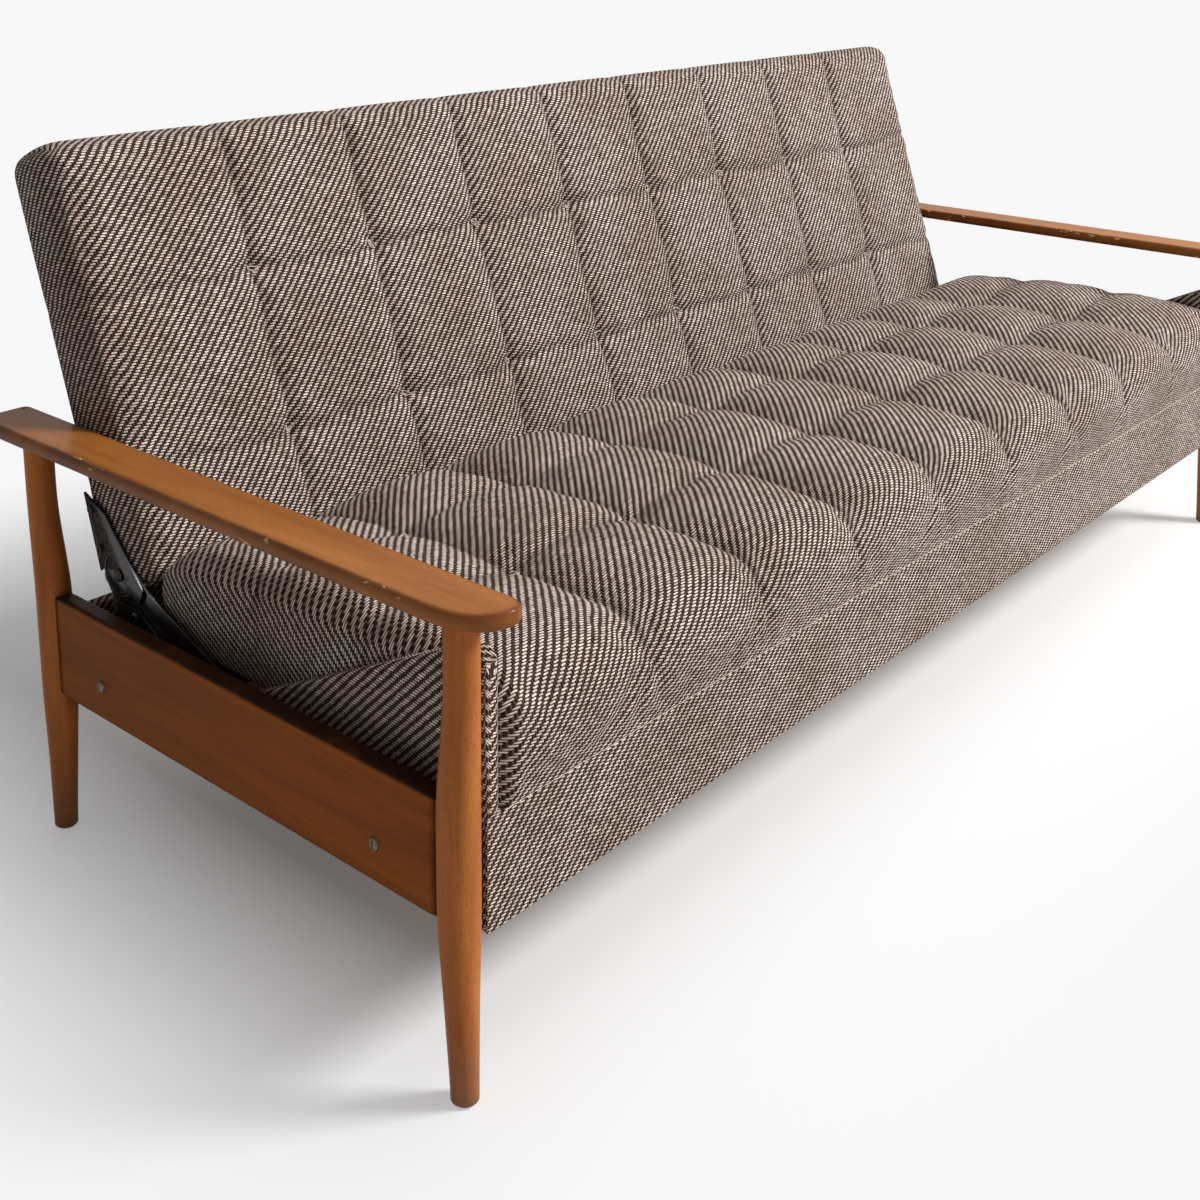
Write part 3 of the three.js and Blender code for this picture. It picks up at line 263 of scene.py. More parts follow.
def lacquerBeech(name, grain, look):
    material, tree, shader = newMaterial(name)
    place = addNode(tree, "TexCoord").outputs["Object"]
    turned = addNode(tree, "Mapping", {0: place, 2: grainTurns[grain]})
    fleckPlace, bandPlace, knockPlace = (
        addNode(tree, "Mapping", {0: turned, 3: (look[part + "Along"], look[part + "Across"],
                                                 look[part + "Across"])})
        for part in ("fleck", "band", "knock"))
    flecks = addNode(tree, "TexNoise", {"Vector": fleckPlace, "Scale": 1.0, "Detail": 2.0})
    fleckUsed = addNode(tree, "MapRange", {0: flecks, 1: 0.58, 2: 0.72})
    bands = addNode(tree, "TexNoise", {"Vector": bandPlace, "Scale": 1.0, "Detail": 5.0,
                                       "Roughness": 0.6, "Distortion": 0.6})
    bandUsed = addNode(tree, "MapRange", {0: bands, 1: 0.34, 2: 0.66})
    wood = addNode(tree, "Mix", {0: bandUsed, 6: look["amber"], 7: look["honey"]},
                   data_type="RGBA")
    fleckShare = addNode(tree, "Math", {0: fleckUsed, 1: look["fleckShare"]},
                         operation="MULTIPLY")
    flecked = addNode(tree, "Mix", {0: fleckShare, 6: wood, 7: look["fleck"]},
                      data_type="RGBA")
    # colour darkened towards the shadow tone where the mesh marks it: lacquer pooled at edges
    # and wear, and painted shade on the rails' tops and the armrests' rear
    edge = addNode(tree, "Attribute", attribute_name="edge").outputs["Fac"]
    cloud = addNode(tree, "TexNoise", {"Vector": place, "Scale": 14.0, "Detail": 3.0})
    cloudUsed = addNode(tree, "MapRange", {0: cloud, 1: 0.35, 2: 0.65, 3: 0.55, 4: 1.0})
    pooledAndShaded = addNode(tree, "Math", {0: edge, 1: cloudUsed}, operation="MULTIPLY")
    pooledAndShadedShare = addNode(tree, "Math", {0: pooledAndShaded, 1: look["pooledAndShaded"]}, operation="MULTIPLY")
    edged = addNode(tree, "Mix", {0: pooledAndShadedShare, 6: flecked, 7: look["shadow"]},
                    data_type="RGBA")
    # knocks: small sharp chips, longer along the grain, on the edges only
    knocks = addNode(tree, "TexNoise", {"Vector": knockPlace, "Scale": 1.0, "Detail": 2.0})
    zones = addNode(tree, "TexNoise", {"Vector": place, "Scale": look["knockZones"],
                                       "Detail": 0.0})
    zoneUsed = addNode(tree, "MapRange", {0: zones, 1: 0.56, 2: 0.66})
    knockUsed = addNode(tree, "MapRange", {0: knocks, 1: look["knocked"],
                                           2: look["knocked"] + 0.02})
    knockEdge = addNode(tree, "MapRange", {0: edge, 1: 0.55, 2: 0.8})
    knockLocal = addNode(tree, "Math", {0: knockUsed, 1: zoneUsed}, operation="MULTIPLY")
    chip = addNode(tree, "Math", {0: knockLocal, 1: knockEdge}, operation="MULTIPLY")
    finished = addNode(tree, "Mix", {0: chip, 6: edged, 7: look["bare"]}, data_type="RGBA")
    if "scuffed" in look:
        # the last few centimetres are scuffed and greyed by the floor
        height = addNode(tree, "SeparateXYZ", {0: place}).outputs[2]
        scuffs = addNode(tree, "TexNoise", {"Vector": place, "Scale": 160.0, "Detail": 4.0})
        low = addNode(tree, "MapRange", {0: height, 1: look["scuffHeight"], 2: 0.0})
        scuff = addNode(tree, "Math", {0: low, 1: scuffs}, operation="MULTIPLY")
        scuffUsed = addNode(tree, "MapRange", {0: scuff, 1: 0.12, 2: 0.62, 4: 0.75})
        finished = addNode(tree, "Mix", {0: scuffUsed, 6: finished, 7: look["scuffed"]},
                           data_type="RGBA")
    rub = addNode(tree, "MapRange", {0: bands, 1: 0.3, 2: 0.7, 3: look["roughness"] - 0.05,
                                     4: look["roughness"] + 0.1})
    dull = addNode(tree, "Math", {0: chip, 1: 0.4, 2: rub}, operation="MULTIPLY_ADD")
    brushMarks = addNode(tree, "Math", {0: fleckUsed, 1: -0.4, 2: bands},
                         operation="MULTIPLY_ADD")
    sunk = addNode(tree, "Math", {0: chip, 1: -2.0, 2: brushMarks}, operation="MULTIPLY_ADD")
    bump = addNode(tree, "Bump", {"Height": sunk, "Distance": look["relief"],
                                  "Strength": 0.6})
    setInputs(tree, shader, {
        "Base Color": finished, "Roughness": dull, "Normal": bump, "IOR": 1.5,
        "Specular IOR Level": look["level"], "Coat Weight": look["coat"],
        "Coat Roughness": look["coatRoughness"]})
    return material


# Ends a material with a colour between its two tones, its relief and its other inputs.
def finishSurface(tree, shader, look, share, height, strength, inputs):
    colour = addNode(tree, "Mix", {0: share, 6: look["tones"][0], 7: look["tones"][1]},
                     data_type="RGBA")
    bump = addNode(tree, "Bump", {"Height": height, "Distance": look["relief"],
                                  "Strength": strength})
    setInputs(tree, shader, {"Base Color": colour, "Normal": bump, **inputs})


# Plain woods of the hidden frame: sawn pine with straight yellow-brown bands, and pressed
# hardboard with its fine even fibre.
woodLooks = {
    "sawnPine": {"tones": ("b98c56", "dcbd8e"), "across": 60.0, "alongShare": 0.06,
                 "roughness": 0.75, "relief": 0.0006},
    "pressedHardboard": {"tones": ("6b4a2e", "86623f"), "across": 420.0, "alongShare": 0.7,
                         "roughness": 0.8, "relief": 0.0006},
}


def sawWood(name, look):
    material, tree, shader = newMaterial(name)
    place = addNode(tree, "TexCoord").outputs["Object"]
    across = look["across"]
    stretched = addNode(tree, "Mapping", {0: place,
                                          3: (across * look["alongShare"], across, across)})
    bands = addNode(tree, "TexNoise", {"Vector": stretched, "Scale": 1.0, "Detail": 6.0,
                                       "Roughness": 0.65, "Distortion": 0.8})
    used = addNode(tree, "MapRange", {0: bands, 1: 0.35, 2: 0.65})
    finishSurface(tree, shader, look, used, bands, 0.5, {"Roughness": look["roughness"]})
    return material


# Metals: stoved black enamel over pressed steel, dull nickel-plated screws and pins gone
# brown with age, and blued spring wire.
metalLooks = {
    "stovedEnamel": {"tones": ("060607", "0c0c0d"), "metallic": 0.0, "roughness": 0.26,
                     "coat": 0.1, "relief": 0.00008},
    "agedNickel": {"tones": ("756b60", "463a2f"), "metallic": 1.0, "roughness": 0.34,
                   "coat": 0.0, "relief": 0.0001},
    "blackedSteel": {"tones": ("38332e", "221d19"), "metallic": 1.0, "roughness": 0.36,
                     "coat": 0.0, "relief": 0.0001},
    "bluedWire": {"tones": ("5b5c60", "3e3b38"), "metallic": 1.0, "roughness": 0.3,
                  "coat": 0.0, "relief": 0.00005},
}


def finishMetal(name, look):
    material, tree, shader = newMaterial(name)
    place = addNode(tree, "TexCoord").outputs["Object"]
    blotch = addNode(tree, "TexNoise", {"Vector": place, "Scale": 130.0, "Detail": 5.0,
                                        "Roughness": 0.7})
    used = addNode(tree, "MapRange", {0: blotch, 1: 0.4, 2: 0.68})
    rough = addNode(tree, "MapRange", {0: used, 3: look["roughness"],
                                       4: look["roughness"] + 0.14})
    skin = addNode(tree, "TexNoise", {"Vector": place, "Scale": 420.0, "Detail": 2.0})
    finishSurface(tree, shader, look, used, skin, 0.5, {
        "Roughness": rough, "Metallic": look["metallic"], "Coat Weight": look["coat"],
        "Coat Roughness": 0.12})
    return material


# Soft two-ply cotton of the tufts and the welt: pale, matt, with slanting twists.
cottonLook = {
    "tones": ("b39e8f", "efe2d6"),
    "twist": 130.0,           # about 2.4 mm a twist
    "fuzz": 900.0, "relief": 0.0004,
}


def spinCotton(name, look):
    material, tree, shader = newMaterial(name)
    place = addNode(tree, "TexCoord").outputs["Object"]
    twist = addNode(tree, "TexWave", {"Vector": place, "Scale": look["twist"],
                                      "Distortion": 1.5}, bands_direction="DIAGONAL")
    fuzz = addNode(tree, "TexNoise", {"Vector": place, "Scale": look["fuzz"], "Detail": 3.0})
    mixed = addNode(tree, "Math", {0: fuzz, 1: 0.6, 2: twist.outputs["Fac"]},
                    operation="MULTIPLY_ADD")
    used = addNode(tree, "MapRange", {0: mixed, 1: 0.3, 2: 1.2})
    finishSurface(tree, shader, look, used, mixed, 0.6, {
        "Roughness": 0.92, "Specular IOR Level": 0.15})
    return material


wovenTwill = weaveTwill("wovenTwill", twillLook)
legLook = {**beechLook, "honey": "bc7237", "amber": "965022", "coat": 0.1, "pooledAndShaded": 0.7,
           "scuffed": "7c604c", "scuffHeight": 0.13}
# rails: beech drawn darker than the armrests', partly painted shade, with a near black shadow
# tone for the painted shade along their tops
railLook = {**beechLook, "honey": "95521f", "amber": "7a3f15", "shadow": "2c160b",
            "pooledAndShaded": 1.4, "knocked": 0.95, "coat": 0.02, "level": 0.03}
beechAlongZ = lacquerBeech("lacqueredBeechPost", "z", legLook)
beechAlongY = lacquerBeech("lacqueredBeechBoard", "y", beechLook)
beechRail = lacquerBeech("lacqueredBeechRail", "y", railLook)
sawnPine, pressedHardboard = (sawWood(name, look) for name, look in woodLooks.items())
stovedEnamel, agedNickel, blackedSteel, bluedWire = (
    finishMetal(name, look) for name, look in metalLooks.items())
spunCotton = spinCotton("spunCotton", cottonLook)
print("sofa bed: materials made")

# The material of each node, by how its name starts; the longest start counts.
nodeMaterials = {
    "box_end_board": sawnPine, "box_front_board": sawnPine, "box_rear_board": sawnPine,
    "floor_bearer": sawnPine, "rail_spacer": sawnPine, "seat_frame": sawnPine,
    "seat_cross": sawnPine, "back_frame": sawnPine, "box_floor": pressedHardboard,
    "back_rear_panel": pressedHardboard, "hinge_bracket": stovedEnamel,
    "seat_arm": stovedEnamel, "back_arm": stovedEnamel, "pawl": stovedEnamel,
    "back_arm_screw": blackedSteel, "rail_bolt": agedNickel, "seat_pivot": agedNickel,
    "back_pivot": blackedSteel, "pawl_pin": blackedSteel, "pawl_spring": bluedWire,
    "front_leg": beechAlongZ, "rear_leg": beechAlongZ, "armrest": beechAlongY,
    "side_rail": beechRail, "box_end_cover": wovenTwill, "box_front_cover": wovenTwill,
    "box_rear_cover": wovenTwill, "seat_cushion": wovenTwill, "back_cushion": wovenTwill,
}
for name, node in nodes.items():
    start = max((key for key in nodeMaterials if name.startswith(key)), key=len)
    node.data.materials.clear()
    node.data.materials.append(nodeMaterials[start])


def newPiece(name, points, faces, material, body):
    mesh = bpy.data.meshes.new(name)
    corners = np.array([tuple(point) for point in points])
    mesh.from_pydata(corners.tolist(), [], [list(face) for face in faces])
    mesh.materials.append(material)
    mesh.shade_smooth()
    mesh.update()
    piece = bpy.data.objects.new(name, mesh)
    scene.collection.objects.link(piece)
    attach(piece, body)
    return piece


# Marks where wood is drawn darker, for pooled lacquer, wear and painted shade, or where cloth is
# drawn darker in a sewn fold, for painted shade and dust.
def markEdge(piece, values):
    layer = piece.data.attributes.new("edge", "FLOAT", "POINT")
    layer.data.foreach_set("value", np.asarray(values, dtype=np.float32))


# The faces of a stack of rings, closed at both ends, from the point numbered first.
def ringFaces(rings, sides, first=0):
    faces = []
    for low in range(first, first + (rings - 1) * sides, sides):
        for corner in range(sides):
            after = (corner + 1) % sides
            faces.append((low + corner, low + after, low + sides + after,
                          low + sides + corner))
    last = first + (rings - 1) * sides
    faces.append(tuple(range(first + sides - 1, first - 1, -1)))
    faces.append(tuple(range(last, last + sides)))
    return faces


# Left-hand points and faces, or the same for the right-hand end.
def mirrored(points, faces, way):
    if way < 0:
        return points, faces
    return points * (-1, 1, 1), [tuple(face)[::-1] for face in faces]


# Legs, turned on a lathe: thin feet, a swell at the side rail and a straight neck.
legShape = {
    "sides": 56, "rings": 120,
    "foot": 0.014, "shin": 0.0175, "knee": 0.0215, "neck": 0.0175,
    "shinHeight": 0.105, "railLow": 0.1957, "railHigh": 0.3237,
    "neckHeight": 0.428, "top": 0.5127,
    "frontKneeSet": 0.006, "rearKneeSet": -0.009, "rearTopSet": 0.004,   # off the foot, in y
    "shinSet": 0.6,           # the shin's share of the knee's
    "footEase": 0.003, "footMark": 0.7, "footMarkReach": 0.012,
    "ease": 0.03,             # how far the turner blended one part into the next
}


def turnLeg(name, x, y, kneeSet, topSet):
    values = legShape
    top, ease = values["top"], values["ease"]
    heights = np.linspace(0, top, values["rings"])
    stops = [0, values["shinHeight"], values["railLow"], values["railHigh"],
             values["neckHeight"], top]
    radii = [values[part] for part in ("foot", "shin", "knee", "knee", "neck", "neck")]
    sets = [0, kneeSet * values["shinSet"], kneeSet, kneeSet, topSet, topSet]
    radius, middle = (
        np.mean([np.interp(heights + off, stops, run) for off in np.linspace(-ease, ease, 31)],
                axis=0) for run in (radii, sets))
    radius[0] -= values["footEase"]
    angles = np.linspace(0, 2 * math.pi, values["sides"], endpoint=False)
    heights[1] = values["footEase"]
    rings = [np.stack([x + r * np.cos(angles), y + m + r * np.sin(angles),
                       np.full_like(angles, z)], axis=1)
             for r, m, z in zip(radius, middle, heights)]
    points = np.concatenate(rings)
    faces = ringFaces(len(rings), values["sides"])
    leg = newPiece(name, points, faces, beechAlongZ, "frame")
    for cap in (-2, -1):
        leg.data.polygons[cap].use_smooth = False
    away = np.abs(points[:, 2] - values["footEase"])
    markEdge(leg, np.clip(1 - away / values["footMarkReach"], 0, 1) * values["footMark"])
    return leg


ends = {"left": -1, "right": 1}
for end, way in ends.items():
    legX = way * sofa["legX"]
    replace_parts(turnLeg("turnedFrontLeg_" + end, legX, sofa["frontLegY"],
                        legShape["frontKneeSet"], 0.0), "front_leg_" + end)
    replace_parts(turnLeg("turnedRearLeg_" + end, legX, sofa["rearLegY"],
                        legShape["rearKneeSet"], legShape["rearTopSet"]), "rear_leg_" + end)
print("sofa bed: legs turned")


def quarterCurve(start, middle, stop, steps):
    shares = np.linspace(0, 1, steps, endpoint=False)[:, None]
    start, middle, stop = (np.array(point, dtype=float) for point in (start, middle, stop))
    return (1 - shares) ** 2 * start + 2 * shares * (1 - shares) * middle + shares ** 2 * stop


# Armrests: flat boards, swept in at the outer front corner, with edges eased all round.
# The plan is drawn in from the left leg's centre, short of the edge by its rounding.
armShape = {
    "inner": 0.028, "outer": -0.030, "nose": -0.049, "rear": 0.788,
    "shoulder": 0.022, "tip": 0.020, "rearRound": 0.016, "noseSet": 0.006,
    "low": 0.513, "high": 0.531, "ease": 0.0055,
    "rims": ((-0.008, 0.0), (-0.001, 0.25), (-0.001, 0.2)),     # flat rings in from the edge
    # degrees round the edge, and how worn it is there
    "edge": ((-90, 0.4), (-60, 0.9), (-30, 0.8), (0, 0.5), (30, 0.8), (60, 1.0), (90, 0.4)),
    # the mark rises towards the rear of the top: painted shade, drawn darker there, which also
    # lets chips show
    "rearShadeAndWear": 0.5, "shadeAndWearFrom": 0.3, "shadeAndWearRun": 0.45,
}


def carveArmrest(name, way):
    values = armShape
    inner, outer, nose, rear = (values[key] for key in ("inner", "outer", "nose", "rear"))
    ease, tip, shoulder = values["ease"], values["tip"], values["shoulder"]
    noseSet, corner = values["noseSet"], values["rearRound"]

    def sideRun(x, start, stop):
        return np.stack([np.full(40, x), np.linspace(start, stop, 40, endpoint=False)], axis=1)

    plan = np.concatenate([
        sideRun(inner, nose + tip, rear - ease),
        quarterCurve((inner, rear - ease), (inner, rear), (inner - ease, rear), 5),
        quarterCurve((inner - ease, rear), (0, rear), (outer + corner, rear), 4),
        quarterCurve((outer + corner, rear), (outer, rear), (outer, rear - corner), 8),
        sideRun(outer, rear - corner, shoulder),
        quarterCurve((outer, shoulder), (outer, nose + noseSet), (noseSet, nose), 20),
        quarterCurve((noseSet, nose), (inner, nose - ease), (inner, nose + tip), 16),
    ])
    along = np.roll(plan, -1, axis=0) - np.roll(plan, 1, axis=0)
    outward = np.stack([along[:, 1], -along[:, 0]], axis=1)
    outward /= np.linalg.norm(outward, axis=1, keepdims=True)
    far, below, above = values["rims"]
    turns = [(far[0], -1, far[1]), (below[0], -1, below[1])]
    turns += [(ease * math.cos(math.radians(angle)), math.sin(math.radians(angle)), mark)
              for angle, mark in values["edge"]]
    turns += [(above[0], 1, above[1]), (far[0], 1, far[1])]
    middle = (values["low"] + values["high"]) / 2
    flat = (values["high"] - values["low"]) / 2 - ease
    rings, marks = [], []
    for out, rise, mark in turns:
        x, y = (plan + outward * out).T
        height = middle + np.sign(rise) * flat + ease * rise
        rings.append(np.column_stack([x - sofa["legX"], y + sofa["frontLegY"],
                                      np.full(len(plan), height)]))
        # painted shade towards the rear of the top, added to the edge's wear
        marks.append(mark + values["rearShadeAndWear"] * np.clip(
            (y - values["shadeAndWearFrom"]) / values["shadeAndWearRun"], 0, 1))
    faces = ringFaces(len(rings), len(plan))
    points, faces = mirrored(np.concatenate(rings), faces, way)
    arm = newPiece(name, points, faces, beechAlongY, "frame")
    markEdge(arm, np.concatenate(marks))
    return arm


for end, way in ends.items():
    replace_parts(carveArmrest("easedArmrest_" + end, way), "armrest_" + end)
print("sofa bed: armrests shaped")


# A closed box of quads: its lattice points, its faces, and the side that each face is on
# (0 and 1 low and high x, 2 and 3 y, 4 and 5 z).
def boxLattice(counts):
    numbers, points, faces, sides = {}, [], [], []
    for axis in range(3):
        one, two = (axis + 1) % 3, (axis + 2) % 3
        for end in (0, counts[axis]):
            for i in range(counts[one]):
                for j in range(counts[two]):
                    quad = []
                    for stepI, stepJ in ((0, 0), (1, 0), (1, 1), (0, 1)):
                        place = [0, 0, 0]
                        place[axis], place[one], place[two] = end, i + stepI, j + stepJ
                        place = tuple(place)
                        if place not in numbers:
                            numbers[place] = len(points)
                            points.append(place)
                        quad.append(numbers[place])
                    faces.append(quad if end else quad[::-1])
                    sides.append(axis * 2 + (1 if end else 0))
    return np.array(points), np.array(faces), np.array(sides)


# Rounds a box's edges, by a radius for each of its six sides, and gives outward normals.
def roundBox(points, low, high, radii):
    low, high, radii = np.array(low), np.array(high), np.array(radii)
    core = np.clip(points, low + radii[:, 0], high - radii[:, 1])
    off = points - core
    reach = np.where(off < 0, radii[:, 0], radii[:, 1])
    unit = off / reach
    unit /= np.maximum(np.linalg.norm(unit, axis=1, keepdims=True), 1e-9)
    normal = unit / reach
    normal /= np.maximum(np.linalg.norm(normal, axis=1, keepdims=True), 1e-9)
    return core + unit * reach, normal


# Lays the cloth on a box: for each side, its place across and along the threads.
def layCloth(piece, faces, sides, places, clothMap):
    layer = piece.data.uv_layers.new(name="cloth")
    corners = places[faces.reshape(-1)]
    sideOf = np.repeat(sides, 4)
    cloth = np.zeros((len(corners), 2))
    for side, rule in clothMap.items():
        chosen = sideOf == side
        cloth[chosen] = np.stack(rule(*corners[chosen].T), axis=1)
    layer.data.foreach_set("uv", cloth.reshape(-1).astype(np.float32))


def stations(*runs):
    parts = [np.linspace(start, stop, steps, endpoint=False) for start, stop, steps in runs]
    return np.concatenate(parts + [[runs[-1][1]]])


# Stations from low to high, with runs of their own over the first and last few millimetres.
def edgedRun(low, high, first, last, steps):
    start, stop = low + first, high - last
    return stations((low, start, steps[0]), (start, stop, steps[1]), (stop, high, steps[2]))


def latticeBox(*axes):
    lattice, faces, sides = boxLattice([len(axis) - 1 for axis in axes])
    points = np.stack([axis[lattice[:, number]] for number, axis in enumerate(axes)], axis=1)
    return points, faces, sides


# Side rails, scribed to the legs: a board with its top outer edge well rounded.
railShape = {
    "outer": -0.012, "inner": 0.010, "low": 0.1949, "high": 0.3229,
    "round": 0.005, "ease": 0.0015, "legGap": 0.0004,
    "pooledAndShaded": 0.005, "upper": 0.02, "endMark": 0.006,
}


def cutRail(name, way):
    values = railShape
    low, high = (values["outer"], 0, values["low"]), (values["inner"], 1, values["high"])
    box, faces, sides = latticeBox(edgedRun(low[0], high[0], 0.006, 0.003, (4, 3, 2)),
                                   np.linspace(0, 1, 61),
                                   edgedRun(low[2], high[2], 0.004, 0.006, (3, 12, 4)))
    place, _ = roundBox(box, low, high, ((values["round"], values["ease"]), (1e-6, 1e-6),
                                         (values["ease"], values["round"])))
    across = np.sqrt(legShape["knee"] ** 2 - place[:, 0] ** 2) + values["legGap"]
    front = sofa["frontLegY"] + legShape["frontKneeSet"] + across
    rear = sofa["rearLegY"] + legShape["rearKneeSet"] - across
    share = box[:, 1]
    place[:, 1] = front + (rear - front) * share
    fromEnd = np.minimum(share, 1 - share) * (sofa["rearLegY"] - sofa["frontLegY"])
    fromTop = np.minimum(high[2] - box[:, 2], box[:, 2] - low[2])
    # darker along the top edge: painted shade under the armrests, with dust; half as much along
    # the lower edge, and darker at the ends against the legs
    mark = np.clip(1 - fromTop / values["pooledAndShaded"], 0, 1)
    mark = np.where(box[:, 2] > high[2] - values["upper"], mark, mark * 0.5)
    mark = np.maximum(mark, np.clip(1 - fromEnd / values["endMark"], 0, 0.6))
    place[:, 0] -= sofa["legX"]
    points, faces = mirrored(place, faces, way)
    rail = newPiece(name, points, faces, beechRail, "frame")
    markEdge(rail, mark)
    return rail


for end, way in ends.items():
    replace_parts(cutRail("scribedRail_" + end, way), "side_rail_" + end)
print("sofa bed: rails cut")


# Fabric covers of the bedding box, stretched over its boards, with soft edges.
coverShape = {
    "outer": 0.9675, "boardInner": 0.9526, "cheekInner": 0.9499,
    "low": 0.1642, "top": 0.2882, "depth": 0.706, "skin": 0.0025, "frontReach": 0.0206,
    "endTop": 0.2816, "cheekTop": 0.4569, "cheekFlat": 0.038, "cheekEnd": 0.382,
    "cheekRound": 0.016, "endRear": 0.6849, "notchFront": 0.6108, "notchLow": 0.2601,
    "rearTop": 0.2918, "rearFront": 0.6853, "soft": 0.004, "padding": 0.0018,
    "paddingLow": 0.33, "paddingFade": 0.03,
    "frontSet": 0.0029,       # how far the end's front edge stands behind the front cover's
    "step": 0.0002,           # the run of a sharp step in an outline
    "boardSoft": 0.0015,
}

# The place on the cloth, for each side of a box covered in one piece.
boxCloth = {
    0: lambda x, y, z: (-y, z), 1: lambda x, y, z: (y, z),
    2: lambda x, y, z: (x, z), 3: lambda x, y, z: (-x, z),
    4: lambda x, y, z: (x, -y), 5: lambda x, y, z: (x, y + z),
}


def toFrame(points):
    return points + np.array((0, sofa["frontLegY"], 0))


def cheekTopAt(y):
    values = coverShape
    endTop, notchLow, notch = values["endTop"], values["notchLow"], values["notchFront"]
    line = np.interp(y, [values["cheekFlat"], values["cheekEnd"], notch,
                         notch + values["step"], values["endRear"]],
                     [values["cheekTop"], endTop, endTop, notchLow, notchLow])
    share = 1 - np.sqrt(np.clip(y / values["cheekFlat"], 0, 1))
    return line + values["cheekRound"] * (2 * share - 3 * share ** 2)


def coverEnd(name, way):
    values = coverShape
    low = (-values["outer"], 0, 0)
    high = (-values["cheekInner"], values["endRear"], 1)
    step, notch, padding = values["step"], values["notchFront"], values["padding"]
    ys = stations((0, values["cheekRound"], 8), (values["cheekRound"], values["cheekEnd"], 44),
                  (values["cheekEnd"], notch, 20), (notch, notch + step, 1),
                  (notch + step, values["endRear"], 6))
    soft = values["soft"] / 0.2
    box, faces, sides = latticeBox(edgedRun(low[0], high[0], 0.005, 0.005, (3, 2, 3)), ys,
                                   edgedRun(0, 1, soft, soft, (3, 26, 4)))
    place, normal = roundBox(box, low, high, ((values["soft"], values["soft"]),
                                              (values["soft"], 0.001), (soft, soft)))
    tops = cheekTopAt(place[:, 1])
    place[:, 2] = values["low"] + place[:, 2] * (tops - values["low"])
    under = place[:, 2] < values["top"] + step
    place[under & (place[:, 1] < 0.006), 1] += values["frontSet"]
    place[:, 0] = np.where(under, np.minimum(place[:, 0], -values["boardInner"] + 0.0001),
                           place[:, 0])
    fade = values["paddingFade"]
    shown = np.clip((place[:, 2] - values["paddingLow"]) / fade, 0, 1) * (normal[:, 0] < -0.5)
    place[:, 0] -= shown * padding * np.clip((tops - place[:, 2]) / fade, 0, 1)
    heights = values["low"] + box[:, 2] * (cheekTopAt(box[:, 1]) - values["low"])
    flat = np.stack([box[:, 0], box[:, 1], heights], axis=1)
    points, turnedFaces = mirrored(toFrame(place), faces, way)
    cover = newPiece(name, points, turnedFaces, wovenTwill, "frame")
    rules = {**boxCloth, 2: lambda x, y, z: (x - low[0], z), 4: lambda x, y, z: (x, y),
             5: lambda x, y, z: (-y, z + x - low[0])}
    if way > 0:
        rules = {side: (lambda rule: lambda x, y, z: (-rule(x, y, z)[0], rule(x, y, z)[1]))(rule)
                 for side, rule in rules.items()}
        faces = faces[:, ::-1]
    layCloth(cover, faces, sides, flat, rules)
    return cover


def sewCover(name, place, box, faces, sides):
    cover = newPiece(name, place, faces, wovenTwill, "frame")
    layCloth(cover, faces, sides, box, boxCloth)
    return cover


def coverFront():
    values = coverShape
    low = (-values["outer"], 0, values["low"])
    high = (values["outer"], values["frontReach"], values["top"])
    inner, step = values["cheekInner"] - 0.0003, values["step"]
    xs = stations((low[0], low[0] + 0.004, 3), (low[0] + 0.004, -inner - step, 3),
                  (-inner - step, -inner, 1), (-inner, inner, 200), (inner, inner + step, 1),
                  (inner + step, high[0] - 0.004, 3), (high[0] - 0.004, high[0], 3))
    box, faces, sides = latticeBox(xs, stations((0, 0.002, 3), (0.002, high[1], 4)),
                                   edgedRun(low[2], high[2], 0.004, 0.003, (3, 16, 3)))
    place, _ = roundBox(box, low, high, ((0.002, 0.002), (0.002, 0.0004), (0.003, 0.0016)))
    cheeks = np.abs(box[:, 0]) > inner + 0.0001
    place[cheeks, 1] = np.minimum(place[cheeks, 1], values["skin"])
    return sewCover("baseFrontCover", toFrame(place), box, faces, sides)


def coverRear():
    values = coverShape
    low = (-values["outer"], values["rearFront"], values["low"])
    high = (values["outer"], values["depth"], values["rearTop"])
    soft = values["soft"]
    box, faces, sides = latticeBox(*(
        edgedRun(start, stop, soft, soft, (3, steps, 3))
        for start, stop, steps in zip(low, high, (200, 2, 16))))
    place, _ = roundBox(box, low, high, ((0.003, 0.003), (0.002, soft), (0.003, soft)))
    return sewCover("baseRearCover", toFrame(place), box, faces, sides)


# The rear board is wrapped in the same cloth, which shows beside the hinge.
def wrapBoard():
    low, high = (list(corner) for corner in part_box("box_rear_board"))
    soft, inset = coverShape["soft"], coverShape["boardSoft"]
    box, faces, sides = latticeBox(
        stations((low[0], high[0], 80)),
        stations((low[1], low[1] + soft, 2), (low[1] + soft, high[1], 3)),
        stations((low[2], high[2] - soft, 10), (high[2] - soft, high[2], 3)))
    place, _ = roundBox(box, low, high, ((inset, inset),) * 3)
    return sewCover("wrappedRearBoard", place, box, faces, sides)


for end, way in ends.items():
    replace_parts(coverEnd("cheekCover_" + end, way), "box_end_cover_" + end)
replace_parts(coverFront(), "box_front_cover")
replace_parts(coverRear(), "box_rear_cover")
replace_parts(wrapBoard(), "box_rear_board")
print("sofa bed: bedding box covered")


# How far a panel stands between its seams: a fold at the seam, full in the middle.
def dome(distance, reach, power):
    return 1 - (1 - np.minimum(distance / reach, 1)) ** power


# Fills a cushion with Blender's cloth: held where it is sewn, swollen and puckered between.
fillShape = {"pressure": 4.0, "frames": 20, "slack": 0.022, "stiffness": 14.0, "shear": 5,
             "bending": 0.3, "mass": 0.3, "quality": 4, "holdSteps": 20}


